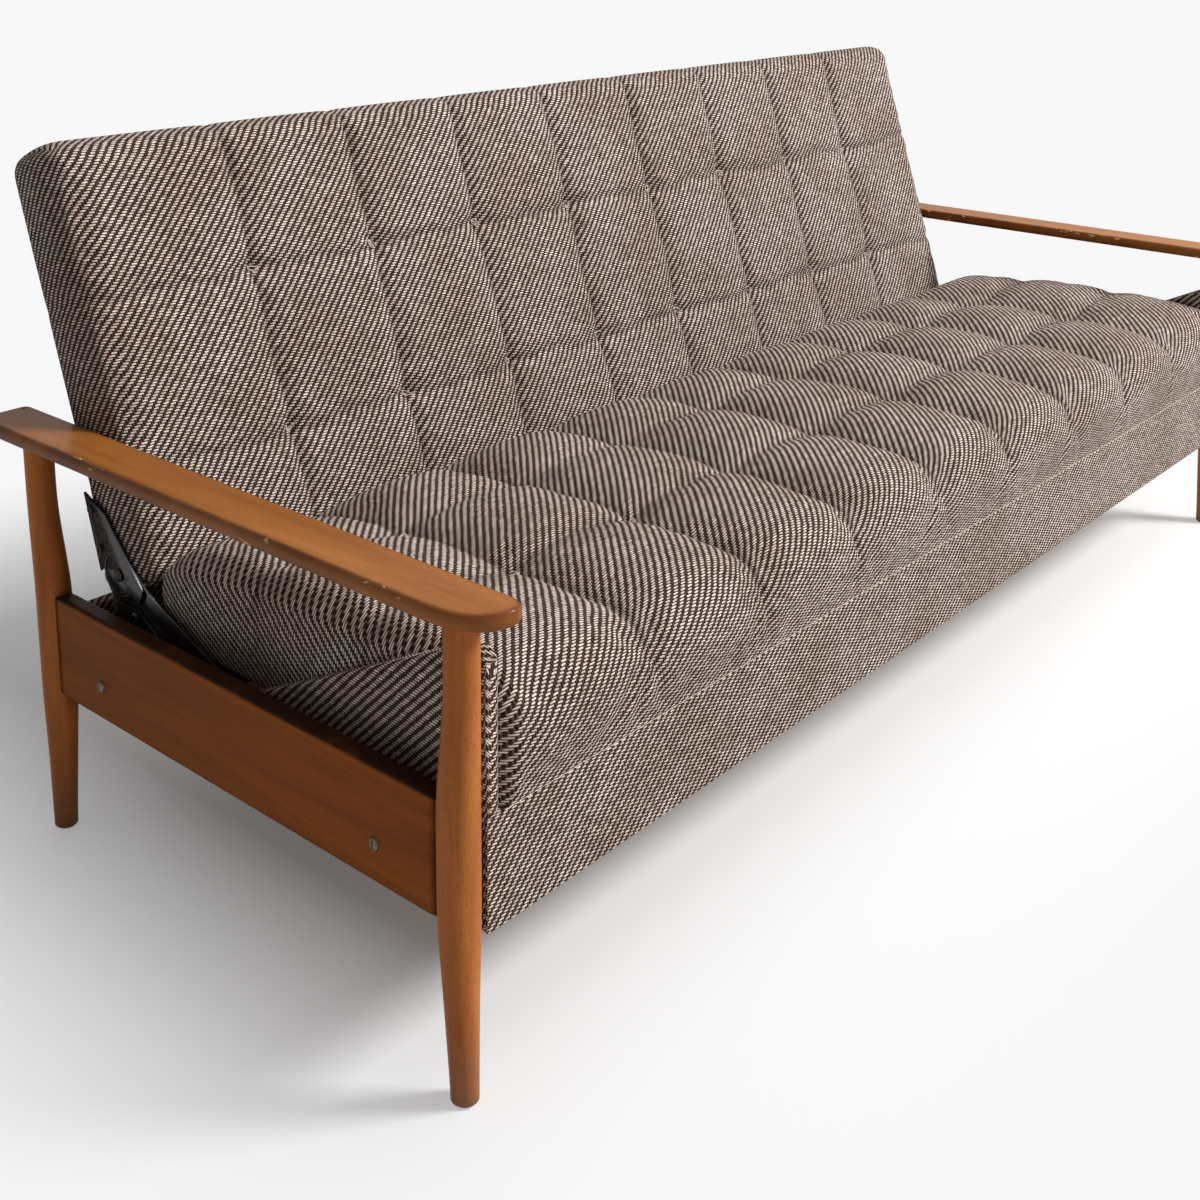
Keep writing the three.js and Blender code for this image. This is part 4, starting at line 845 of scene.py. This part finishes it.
def fillCushion(piece, held, cap):
    mesh = piece.data
    rest = np.empty(len(mesh.vertices) * 3)
    mesh.vertices.foreach_get("co", rest)
    rest = rest.reshape(-1, 3)
    group = piece.vertex_groups.new(name="sewn")
    holdSteps = fillShape["holdSteps"]
    steps = np.round(held * holdSteps).astype(int)
    for step in range(1, holdSteps + 1):
        group.add(np.flatnonzero(steps == step).tolist(), step / holdSteps, "REPLACE")
    cloth = piece.modifiers.new("fill", "CLOTH")
    cloth.point_cache.frame_start, cloth.point_cache.frame_end = 1, fillShape["frames"]
    settings = cloth.settings
    settings.quality = fillShape["quality"]
    settings.mass = fillShape["mass"]
    settings.tension_stiffness = settings.compression_stiffness = fillShape["stiffness"]
    settings.shear_stiffness = fillShape["shear"]
    settings.bending_stiffness = fillShape["bending"]
    settings.vertex_group_mass = group.name
    settings.shrink_min = settings.shrink_max = -fillShape["slack"]
    settings.use_pressure = True
    settings.uniform_pressure_force = fillShape["pressure"]
    settings.effector_weights.gravity = 0
    cloth.collision_settings.use_collision = False
    for number in range(1, fillShape["frames"] + 1):
        scene.frame_set(number)
    filled = piece.evaluated_get(bpy.context.evaluated_depsgraph_get()).data
    after = np.empty(len(rest) * 3)
    filled.vertices.foreach_get("co", after)
    piece.modifiers.remove(cloth)
    piece.vertex_groups.remove(group)
    scene.frame_set(1)
    moved = after.reshape(-1, 3) - rest
    far = np.linalg.norm(moved, axis=1, keepdims=True)
    print("sofa bed:", piece.name, "filled, moved up to", round(float(far.max()) * 1000, 1),
          "mm")
    moved *= cap * np.tanh(far / cap) / np.maximum(far, 1e-9)
    mesh.vertices.foreach_set("co", (rest + moved).reshape(-1))
    mesh.update()


# One round of subdivision, made part of the mesh.
def smoothMesh(piece):
    piece.modifiers.new("smooth", "SUBSURF").levels = 1
    evaluated = piece.evaluated_get(bpy.context.evaluated_depsgraph_get())
    fine = bpy.data.meshes.new_from_object(evaluated)
    piece.modifiers.clear()
    coarse = piece.data
    piece.data = fine
    fine.name = coarse.name
    bpy.data.meshes.remove(coarse)
    fine.shade_smooth()


seams = 8
seatShape = {
    "half": 0.948, "front": 0.004, "depth": 0.544, "low": 0.2886, "top": 0.402,
    # y and height of the crowned top
    "crown": ((0.004, 0.402), (0.18533, 0.410), (0.36667, 0.404), (0.532, 0.382),
              (0.548, 0.368)),
    "pitch": 0.2091, "row": 0.18133,
    "puff": 0.027, "endPuff": 0.005, "seamShare": 0.4, "power": 2.6, "hem": 0.0042,
    "browShare": 0.5,         # how full the front row still is where it rolls over the front
    "foldShare": 0.6,         # how much of a column seam is left on the front
    "foldFall": 0.45,         # and how far down it runs, as a share of the height
    "rowEase": 0.4,           # how much shallower a row seam is in the middle of a panel
    "endEase": 0.7, "endReach": 0.07,       # and at the cushion's ends
    "wander": 0.0035,         # how far the sewn lines stray
    "tuftDepth": 0.008, "tuftReach": 0.012, "pucker": 0.0016,
    "rows": (-0.022, 0.18533, 0.36667),
    "radii": ((0.013, 0.013), (0.030, 0.007), (0.0015, 0.026)),
    "heel": 0.0075, "heelTop": 0.334,       # the rear edge swells back under the back's end
    "sewnWidth": 0.012, "columnCrease": 0.008, "rowCrease": 0.007,
    "cap": 0.007,             # the most that the filling may move the cloth
}


def tuftColumns(pitch):
    return [(number - (seams - 1) / 2) * pitch for number in range(seams)]


# A smooth stray of the sewn lines along the cushion, different for each of them.
def stray(run, number, amount):
    wave = np.sin(run * 19 + number * 2.3) + 0.6 * np.sin(run * 47 + number * 4.1)
    return amount * wave / 1.6


# Distance to the nearest column seam, and the width of half a column there. The end
# columns roll over the cushion's end instead of folding at it.
def columnDistance(x, run, values):
    columns = tuftColumns(values["pitch"])
    away = [np.abs(x - column - stray(run, number, values["wander"]))
            for number, column in enumerate(columns)]
    endReach = (values["half"] - columns[-1]) * 0.75
    reach = np.where(np.abs(x) > columns[-1], endReach, values["pitch"] / 2)
    return np.min(away, axis=0), reach


# The dimple and the radiating puckers round each tuft.
def tuftDimples(x, y, values, seed):
    chance = np.random.default_rng(seed)
    sunk = np.zeros_like(x)
    for tuftY in values["rows"]:
        for tuftX in tuftColumns(values["pitch"]):
            away = np.hypot(x - tuftX, y - tuftY)
            angle = np.arctan2(y - tuftY, x - tuftX)
            depth = values["tuftDepth"] * chance.uniform(0.85, 1.15) * (1 if tuftY > 0 else 0.4)
            sunk -= depth * np.exp(-(away / values["tuftReach"]) ** 1.3)
            folds = np.zeros_like(x)
            for folding in (5, 7, 9):
                folds += np.cos(folding * angle + chance.uniform(0, 2 * math.pi))
            fade = np.exp(-away / 0.026) * np.clip(away / 0.006, 0, 1)
            sunk += values["pucker"] * folds * fade
    return sunk


# Stations that lie closer together towards both ends of each run, for crisp seams.
def seamStations(stops, steps):
    runs = []
    for start, stop, count in zip(stops, stops[1:], steps):
        shares = np.linspace(-1, 1, count, endpoint=False)
        eased = 0.45 * shares + 0.55 * np.sin(shares * math.pi / 2)
        runs.append((start + stop) / 2 + (stop - start) / 2 * eased)
    return np.concatenate(runs + [[stops[-1]]])


# A thin round thread along a path, closed at its ends.
def addStrand(points, faces, path, radius, sides=6):
    first = len(points)
    for number, place in enumerate(path):
        ahead = path[min(number + 1, len(path) - 1)] - path[max(number - 1, 0)]
        ahead.normalize()
        side = ahead.cross(Vector((0.31, 0.52, 0.8))).normalized()
        above = side.cross(ahead)
        for corner in range(sides):
            angle = 2 * math.pi * corner / sides
            points.append(place + side * (radius * math.cos(angle))
                          + above * (radius * math.sin(angle)))
    faces += ringFaces(len(path), sides, first)


# Cotton ends knotted at each tuft: short curled strands lying on the cloth.
tuftLook = {"strands": 3, "wire": 0.0006, "long": 0.0075, "short": 0.0035, "lift": 0.0008,
            "spread": 0.0025, "stations": 16}


def knotTufts(name, cushion, places, outward, body, seed):
    chance = np.random.default_rng(seed)
    tree = BVHTree.FromPolygons([tuple(vertex.co) for vertex in cushion.data.vertices],
                                [tuple(face.vertices) for face in cushion.data.polygons])
    across = Vector((1, 0, 0))
    up = outward.cross(across).normalized()
    spread, count = tuftLook["spread"], tuftLook["stations"]
    points, faces = [], []
    for place in places:
        lean = chance.uniform(-0.6, 0.6)
        for strand in range(tuftLook["strands"]):
            angles = np.linspace(0, chance.uniform(3.4, 5.2), count) + chance.uniform(0, 6.28)
            turn = lean + chance.uniform(-0.5, 0.5)
            longway = tuftLook["long"] * chance.uniform(0.7, 1.1)
            shortway = tuftLook["short"] * chance.uniform(0.6, 1.2)
            middle = chance.uniform(-spread, spread, 2)
            path = []
            for number, angle in enumerate(angles):
                one, two = longway * math.cos(angle), shortway * math.sin(angle)
                side = middle[0] + one * math.cos(turn) - two * math.sin(turn)
                rise = middle[1] + one * math.sin(turn) + two * math.cos(turn)
                start = place + across * side + up * rise + outward * 0.05
                hit = tree.ray_cast(start, -outward, 0.12)[0] or place
                arch = math.sin(math.pi * number / (count - 1))
                path.append(hit + outward * tuftLook["lift"] * (0.5 + 1.3 * arch
                                                                + 0.5 * strand))
            addStrand(points, faces, path, tuftLook["wire"])
    return newPiece(name, points, faces, spunCotton, body)


# Where the seat's lattice points go, how firmly each is sewn, and how much its sewn folds darken
# the cloth there: painted shade and dust.
def shapeSeat(box):
    values = seatShape
    x, y, z = box.T
    front, depth, bottom, top = (values[key] for key in ("front", "depth", "low", "top"))
    low, high = (-values["half"], front, bottom), (values["half"], front + depth, top)
    place, normal = roundBox(box, low, high, values["radii"])
    hem = (z < bottom + 0.0001) & (np.abs(x) < values["half"] - 0.001)
    place[hem, 1] = np.clip(y[hem], low[1] + 0.0004, high[1] - 0.0004)
    place[hem, 2] = bottom
    normal[hem & (y < low[1] + 0.0001)] = (0, -1, 0)
    crown = np.interp(place[:, 1], *zip(*values["crown"]))
    place[:, 2] = bottom + (place[:, 2] - bottom) * ((crown - bottom) / (top - bottom))
    distance, reach = columnDistance(x, y, values)
    column = dome(distance, reach, values["power"])
    rows = y - front + stray(x, 5, values["wander"]) * np.clip(y / 0.1, 0, 1)
    rowDistance = np.abs((rows + values["row"] / 2) % values["row"] - values["row"] / 2)
    row = dome(rowDistance, values["row"] / 2, values["power"])
    lastSeam = tuftColumns(values["pitch"])[-1]
    outer = np.clip((np.abs(x) - lastSeam) / values["endReach"], 0, 1)
    row = 1 - (1 - row) * (1 - np.maximum(values["rowEase"] * column,
                                          values["endEase"] * outer))
    rolling = y < front + values["row"] / 2
    row = np.where(rolling, values["browShare"] + (1 - values["browShare"]) * row, row)
    share = values["seamShare"]
    panel = (1 - share) * column * row + share * (column + row) / 2
    rearFade = np.clip((front + depth - y) / 0.05, 0, 1)
    tops = values["puff"] * panel * (0.35 + 0.65 * rearFade)
    drop = np.clip((top - z) / (top - bottom), 0, 1)
    fold = 1 - (1 - column) * values["foldShare"] * np.exp(-(drop / values["foldFall"]) ** 2)
    brow = (1 - share) * fold * values["browShare"] + share * (fold + values["browShare"]) / 2
    fronts = values["hem"] + (values["puff"] * brow - values["hem"]) * (1 - drop ** 2.0)
    sides = values["puff"] * (1 - share / 2) * row * (1 - drop) ** 1.6
    sides = sides * 0.45 + values["endPuff"] * np.sin(math.pi * drop) * (0.4 + 0.6 * row)
    weights = normal ** 2
    upwards = np.where(normal[:, 2] > 0, weights[:, 2], 0)
    forwards = np.where(normal[:, 1] < 0, weights[:, 1], 0)
    backwards = np.where(normal[:, 1] > 0, weights[:, 1], 0)
    swelling = upwards * tops + forwards * fronts + weights[:, 0] * sides
    tuftRun = np.where(forwards > 0.5, front + z - top, y)
    swelling += tuftDimples(x, tuftRun, values, 11) * np.clip(upwards + forwards, 0, 1)
    shaped = place + normal * swelling[:, None]
    heel = (np.clip((values["heelTop"] - shaped[:, 2]) / 0.012, 0, 1)
            * np.clip((shaped[:, 2] - bottom) / 0.004, 0, 1))
    shaped[:, 1] += values["heel"] * heel * backwards
    shownFolds = np.clip(upwards + forwards * np.exp(-(drop / 0.3) ** 2), 0, 1)
    nearest = np.minimum(distance, np.where(rolling, 1, rowDistance))
    held = np.maximum(np.clip(1 - nearest / values["sewnWidth"], 0, 1) * shownFolds,
                      np.maximum(1 - (upwards + forwards), np.clip((drop - 0.75) / 0.2, 0, 1)))
    held = np.where(np.abs(x) > values["half"] - 0.02, 1, held)
    held = np.where(y > front + depth - 0.06, 1, held)
    # the marks of the sewn folds, which darken the cloth there: painted shade and dust
    columnFold = np.clip(1 - distance / values["columnCrease"], 0, 1) * shownFolds
    rowFold = np.clip(1 - rowDistance / values["rowCrease"], 0, 1) * (
        upwards * (1 - 0.6 * column) + weights[:, 0] * 0.8 * (1 - drop))
    creaseShadeAndDust = np.maximum(columnFold, rowFold * (y > 0.1) * (y < depth - 0.02))
    return shaped, np.clip(held, 0, 1), creaseShadeAndDust


# Cloth isn't stretched by the filling: its run is measured over the middle of a panel, from
# the lower seam in front, over the brow, to the rear.
def measureRun():
    values = seatShape
    fall = values["top"] - values["low"]
    run = stations((-fall, 0, 40), (0, values["depth"], 120))
    box = np.column_stack([np.zeros_like(run), values["front"] + np.maximum(run, 0),
                           values["top"] + np.minimum(run, 0)])
    shaped = shapeSeat(box)[0]
    paces = np.linalg.norm(np.diff(shaped, axis=0), axis=1)
    length = np.concatenate([[0], np.cumsum(paces)])
    return lambda place: np.interp(place, run, length - np.interp(-fall, run, length) - fall)


# Makes a cushion of a shaped box: lays its cloth, marks its sewn folds for painted shade and
# dust, and fills it.
def upholster(name, shaped, faces, sides, box, body, clothMap, held, creaseShadeAndDust, cap):
    cushion = newPiece(name, shaped, faces, wovenTwill, body)
    layCloth(cushion, faces, sides, box, clothMap)
    markEdge(cushion, creaseShadeAndDust)
    fillCushion(cushion, held, cap)
    smoothMesh(cushion)
    return cushion


def makeSeat():
    values = seatShape
    half, front, top = values["half"], values["front"], values["top"]
    clothRun = measureRun()
    xs = seamStations([-half, *tuftColumns(values["pitch"]), half], [20] * (seams + 1))
    ys = seamStations([front + values["row"] * number for number in range(4)], [18] * 3)
    zs = stations((values["low"], values["low"] + 0.002, 1), (values["low"] + 0.002, top, 12))
    box, faces, sides = latticeBox(xs, ys, zs)
    shaped, held, creaseShadeAndDust = shapeSeat(box)
    clothMap = {
        0: lambda x, y, z: (-half - (top - z), clothRun(y - front)),
        1: lambda x, y, z: (half + (top - z), clothRun(y - front)),
        2: lambda x, y, z: (x, clothRun(z - top)),
        3: lambda x, y, z: (x, clothRun(values["depth"]) + (top - z)),
        4: lambda x, y, z: (x, y),
        5: lambda x, y, z: (x, clothRun(y - front)),
    }
    return upholster("tuftedSeat", toFrame(shaped), faces, sides, box, "seat", clothMap, held,
                     creaseShadeAndDust, values["cap"])


seat = makeSeat()
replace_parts(seat, "seat_cushion")
seatTufts = [Vector((x, y + sofa["frontLegY"], 0.40)) for y in seatShape["rows"][1:]
             for x in tuftColumns(seatShape["pitch"])]
knotTufts("seatTuftKnots", seat, seatTufts, Vector((0, 0, 1)), "seat", 31)

# The stitched line under the seat's front, where its cloth is sewn to its base. It waves in
# and out of the cloth, so that it shows broken.
weltLook = {"inset": 0.004, "stations": 900, "height": 0.2893, "wire": 0.0007,
            "out": 0.0007, "outWave": 430, "rise": 0.0003, "riseWave": 83}


def sewWelt():
    points, faces = [], []
    reach = seatShape["half"] - weltLook["inset"]
    path = [Vector((x, sofa["frontLegY"] + weltLook["out"] * math.sin(x * weltLook["outWave"]),
                    weltLook["height"] + weltLook["rise"] * math.sin(x * weltLook["riseWave"])))
            for x in np.linspace(-reach, reach, weltLook["stations"])]
    addStrand(points, faces, path, weltLook["wire"])
    return newPiece("stitchedWelt", points, faces, spunCotton, "seat")


sewWelt()
print("sofa bed: seat upholstered")

backShape = {
    "half": 0.960, "thick": 0.097, "tall": 0.537,
    "hingeDepth": 0.050, "hingeHeight": 0.020,
    "pitch": 0.2043, "rows": (0.133, 0.3445),
    "puff": 0.0085, "topPuff": 0.005, "endPuff": 0.004, "seamShare": 0.5,
    # a narrow fold at the seam and a broad, nearly flat panel beside it: the share of each
    "columnShares": (0.82, 0.18), "columnReach": 0.018,
    "rowShares": (0.8, 0.2), "rowReach": 0.019, "rowBroad": 0.105,
    "wander": 0.003, "sag": 0.004,
    "tuftDepth": 0.008, "tuftReach": 0.014, "pucker": 0.0014,
    "radii": ((0.030, 0.030), (0.026, 0.012), (0.012, 0.026)),
    "rim": 0.016, "panelSet": 0.0055,
    "sewnWidth": 0.012, "rowSewnWidth": 0.010, "crease": 0.006,
    "cap": 0.003,
}


# The back is laid out upright, with its face at depth 0, and then leaned on its hinges.
def leanBack(points):
    depth = points[:, 1] - backShape["hingeDepth"]
    height = points[:, 2] - backShape["hingeHeight"]
    turn = sofa["lean"]
    y = sofa["backHinge"][0] + depth * math.cos(turn) + height * math.sin(turn)
    z = sofa["backHinge"][1] - depth * math.sin(turn) + height * math.cos(turn)
    return np.stack([points[:, 0], y, z], axis=1)


def shapeBack(box):
    values = backShape
    x, depth, height = box.T
    half, thick, tall = values["half"], values["thick"], values["tall"]
    place, normal = roundBox(box, (-half, 0, 0), (half, thick, tall), values["radii"])
    distance, _ = columnDistance(x, height, values)
    narrow, broad = values["columnShares"]
    column = (narrow * dome(distance, values["columnReach"], 2.4)
              + broad * dome(distance, values["pitch"] / 2, 1.8))
    sag = values["sag"] * np.sin(math.pi * np.clip(distance / values["pitch"] * 2, 0, 1))
    rowAway = [np.abs(height - row - stray(x, number, values["wander"] * 1.6) + sag)
               for number, row in enumerate(values["rows"])]
    rowDistance = np.minimum(np.min(rowAway, axis=0), tall + 0.012 - height)
    narrow, broad = values["rowShares"]
    row = (narrow * dome(rowDistance, values["rowReach"], 2.2)
           + broad * dome(rowDistance, values["rowBroad"], 1.8))
    share = values["seamShare"]
    panel = (1 - share) * column * row + share * (0.62 * column + 0.38 * row)
    depthShare = np.sin(math.pi * np.clip(depth / thick, 0, 1))
    weights = normal ** 2
    forwards = np.where(normal[:, 1] < 0, weights[:, 1], 0)
    upwards = np.where(normal[:, 2] > 0, weights[:, 2], 0)
    swelling = (forwards * (values["puff"] * panel)
                + upwards * (values["topPuff"] * column * depthShare)
                + weights[:, 0] * (values["endPuff"] * depthShare * row))
    swelling += tuftDimples(x, height, values, 23) * forwards
    shaped = place + normal * swelling[:, None]
    rim = values["rim"]
    inner = ((normal[:, 1] > 0.99) & (np.abs(x) < half - rim) & (height > rim)
             & (height < tall - rim))
    shaped[inner, 1] = thick - values["panelSet"]
    rowHeld = (np.clip(1 - rowDistance / values["rowSewnWidth"], 0, 1)
               * np.clip(1.1 - distance / 0.07, 0.25, 1))
    held = np.maximum(np.clip(1 - distance / values["sewnWidth"], 0, 1), rowHeld)
    held = np.where(forwards > 0.7, held, 1)
    held = np.where(height < 0.03, 1, held)
    # the marks of the sewn folds, which darken the cloth there: painted shade and dust
    creaseShadeAndDust = np.maximum(0.8 * np.clip(1 - distance / values["crease"], 0, 1),
                         np.clip(1 - rowDistance / values["crease"], 0, 1)
                         * (1 - 0.5 * column))
    return shaped, np.clip(held, 0, 1), creaseShadeAndDust * forwards


def makeBack():
    values = backShape
    half, tall, thick = values["half"], values["tall"], values["thick"]
    xs = seamStations([-half, *tuftColumns(values["pitch"]), half], [22] * (seams + 1))
    zs = seamStations([0, *values["rows"], tall], [14, 20, 20])
    box, faces, sides = latticeBox(xs, stations((0, thick, 10)), zs)
    shaped, held, creaseShadeAndDust = shapeBack(box)
    clothMap = {
        0: lambda x, y, z: (-half - y, z),
        1: lambda x, y, z: (half + y, z),
        2: lambda x, y, z: (x, z),
        3: lambda x, y, z: (x, tall + thick + (tall - z)),
        4: lambda x, y, z: (x, -y),
        5: lambda x, y, z: (x, tall + y),
    }
    return upholster("tuftedBack", leanBack(shaped), faces, sides, box, "back", clothMap, held,
                     creaseShadeAndDust, values["cap"])


back = makeBack()
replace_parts(back, "back_cushion")
backPlaces = leanBack(np.array([(x, 0.0, height) for height in backShape["rows"]
                                for x in tuftColumns(backShape["pitch"])]))
backFacing = Vector((0, -math.cos(sofa["lean"]), math.sin(sofa["lean"])))
knotTufts("backTuftKnots", back, [Vector(place) for place in backPlaces], backFacing, "back",
          43)
print("sofa bed: back upholstered")


# The pressed hinge plates, with the eased edges that the press and the enamel leave.
def easeNode(node, name, width):
    source = nodes[node].data
    plain = bmesh.new()
    plain.from_mesh(source)
    bmesh.ops.remove_doubles(plain, verts=plain.verts, dist=0.00001)
    bmesh.ops.dissolve_limit(plain, angle_limit=math.radians(1.5), verts=plain.verts,
                             edges=plain.edges)
    sharp = [edge for edge in plain.edges if len(edge.link_faces) == 2
             and edge.calc_face_angle(0) > math.radians(35)]
    bmesh.ops.bevel(plain, geom=sharp, offset=width, segments=2, profile=0.6,
                    affect="EDGES", clamp_overlap=True)
    mesh = bpy.data.meshes.new(name)
    plain.to_mesh(mesh)
    plain.free()
    mesh.materials.clear()
    mesh.materials.append(source.materials[0])
    mesh.shade_smooth()
    mesh.set_sharp_from_angle(angle=math.radians(32))
    piece = bpy.data.objects.new(name, mesh)
    scene.collection.objects.link(piece)
    return piece


# body (None is the end's own pawl) and width of the eased edge
hingePlates = {"seat_arm": ("seat", 0.0006), "back_arm": ("back", 0.0006),
               "pawl": (None, 0.0005), "hinge_bracket": ("frame", 0.0006)}
for plate, (body, width) in hingePlates.items():
    for end in ends:
        piece = easeNode(plate + "_" + end, "eased_" + plate + "_" + end, width)
        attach(piece, body or end + "_pawl")
        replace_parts(piece, plate + "_" + end)


# A rolled lip round the rear of the hinge's round end, and the pips pressed into it.
lipShape = {
    "face": -0.9702, "reach": 0.0272, "wire": 0.0014, "degrees": range(-64, 41, 4),
    "pips": (0.0215, 0.0265), "pipDegrees": range(206, 276, 14),
    "pipRadius": 0.0016, "pipRise": 0.0011, "pipSunk": 0.0004, "sides": 10,
}


def addPip(points, faces, place, way):
    first = len(points)
    radius, rise, sides = lipShape["pipRadius"], lipShape["pipRise"], lipShape["sides"]
    rings = ((radius, -lipShape["pipSunk"]), (radius * 0.8, rise * 0.6), (radius * 0.35, rise))
    for ringRadius, out in rings:
        for corner in range(sides):
            angle = 2 * math.pi * corner / sides
            points.append(place + Vector((way * out, ringRadius * math.cos(angle),
                                          ringRadius * math.sin(angle))))
    faces += ringFaces(len(rings), sides, first)


def pressHinge(end, way):
    pivotY, pivotZ = sofa["backHinge"]
    points, faces = [], []

    def around(radius, degrees):
        turn = math.radians(degrees)
        return Vector((lipShape["face"] * -way, pivotY + radius * math.cos(turn),
                       pivotZ + radius * math.sin(turn)))

    path = [around(lipShape["reach"], degrees) for degrees in lipShape["degrees"]]
    addStrand(points, faces, path, lipShape["wire"], lipShape["sides"])
    for radius in lipShape["pips"]:
        for degrees in lipShape["pipDegrees"]:
            addPip(points, faces, around(radius, degrees), way)
    newPiece("hingeLip_" + end, points, faces, stovedEnamel, "back")


for end, way in ends.items():
    pressHinge(end, way)
print("sofa bed: hinges pressed")

# Stage: a pale floor that keeps the sofa's shadow near it and is plain white far away.
stage = {
    "floor": "f6f6f6", "far": "f8f8f8", "reach": 30.0,
    "plainMiddle": (0, 0.35, 0), "plainHalf": (0.85, 0.55, 9), "plainTo": 0.6,
    "plainNear": 0.08,
    "keyPower": 590.0, "keyPlace": (3.5, -4.4, 5.0), "keyAim": (0, 0, 0.3), "keySize": 2.2,
    "topPower": 50.0, "topPlace": (0.5, -0.5, 4.5), "topAim": (0, 0, 0), "topSize": 3.5,
    "ambient": 0.19,
}


# 1 for the rays that see the stage itself, from the camera, a gloss or through glass.
def seenDirectly(tree):
    path = addNode(tree, "LightPath").outputs
    seen = addNode(tree, "Math", {0: path["Is Camera Ray"], 1: path["Is Glossy Ray"]},
                   operation="MAXIMUM")
    return addNode(tree, "Math", {0: seen, 1: path["Is Transmission Ray"]},
                   operation="MAXIMUM")


def makeFloor():
    mesh = bpy.data.meshes.new("paleFloor")
    reach = stage["reach"]
    mesh.from_pydata([(-reach, -reach, 0), (reach, -reach, 0), (reach, reach, 0),
                      (-reach, reach, 0)], [], [(0, 1, 2, 3)])
    floor = bpy.data.objects.new("paleFloor", mesh)
    scene.collection.objects.link(floor)
    material, tree, shader = newMaterial("paleFloor")
    mesh.materials.append(material)
    setInputs(tree, shader, {"Base Color": stage["floor"], "Roughness": 0.9})
    # the shadow stays under and beside the sofa, and the floor turns plain further out
    place = addNode(tree, "TexCoord").outputs["Object"]
    placed = addNode(tree, "VectorMath", {0: place, 1: stage["plainMiddle"]},
                     operation="SUBTRACT")
    either = addNode(tree, "VectorMath", {0: placed}, operation="ABSOLUTE")
    past = addNode(tree, "VectorMath", {0: either, 1: stage["plainHalf"]},
                   operation="SUBTRACT")
    outside = addNode(tree, "VectorMath", {0: past}, operation="MAXIMUM")
    away = addNode(tree, "VectorMath", {0: outside}, operation="LENGTH")
    far = addNode(tree, "MapRange", {0: away, 2: stage["plainTo"], 3: stage["plainNear"]})
    plain = addNode(tree, "Math", {0: far, 1: seenDirectly(tree)}, operation="MULTIPLY")
    white = addNode(tree, "Emission", {"Color": stage["far"], "Strength": 1.0})
    mixed = addNode(tree, "MixShader", {0: plain, 1: shader, 2: white})
    setInputs(tree, tree.nodes["Material Output"], {"Surface": mixed})


def makeWorld():
    world = bpy.data.worlds.new("softRoom")
    scene.world = world
    world.use_nodes = True
    tree = world.node_tree
    room = tree.nodes["Background"]
    setInputs(tree, room, {"Color": (1, 1, 1, 1), "Strength": stage["ambient"]})
    shown = addNode(tree, "Background", {"Color": stage["far"], "Strength": 1.0})
    mixed = addNode(tree, "MixShader", {0: seenDirectly(tree), 1: room, 2: shown})
    setInputs(tree, tree.nodes["World Output"], {"Surface": mixed})


def addLamp(name):
    data = bpy.data.lights.new(name + "Lamp", "AREA")
    data.shape = "DISK"
    data.size = stage[name + "Size"]
    data.energy = stage[name + "Power"]
    lamp = bpy.data.objects.new(name + "Lamp", data)
    lamp.location = stage[name + "Place"]
    towards = Vector(stage[name + "Aim"]) - Vector(stage[name + "Place"])
    lamp.rotation_euler = towards.to_track_quat("-Z", "Y").to_euler()
    scene.collection.objects.link(lamp)


makeFloor()
makeWorld()
addLamp("key")
addLamp("top")
scene.view_settings.view_transform = "Standard"
print("sofa bed: stage lit")
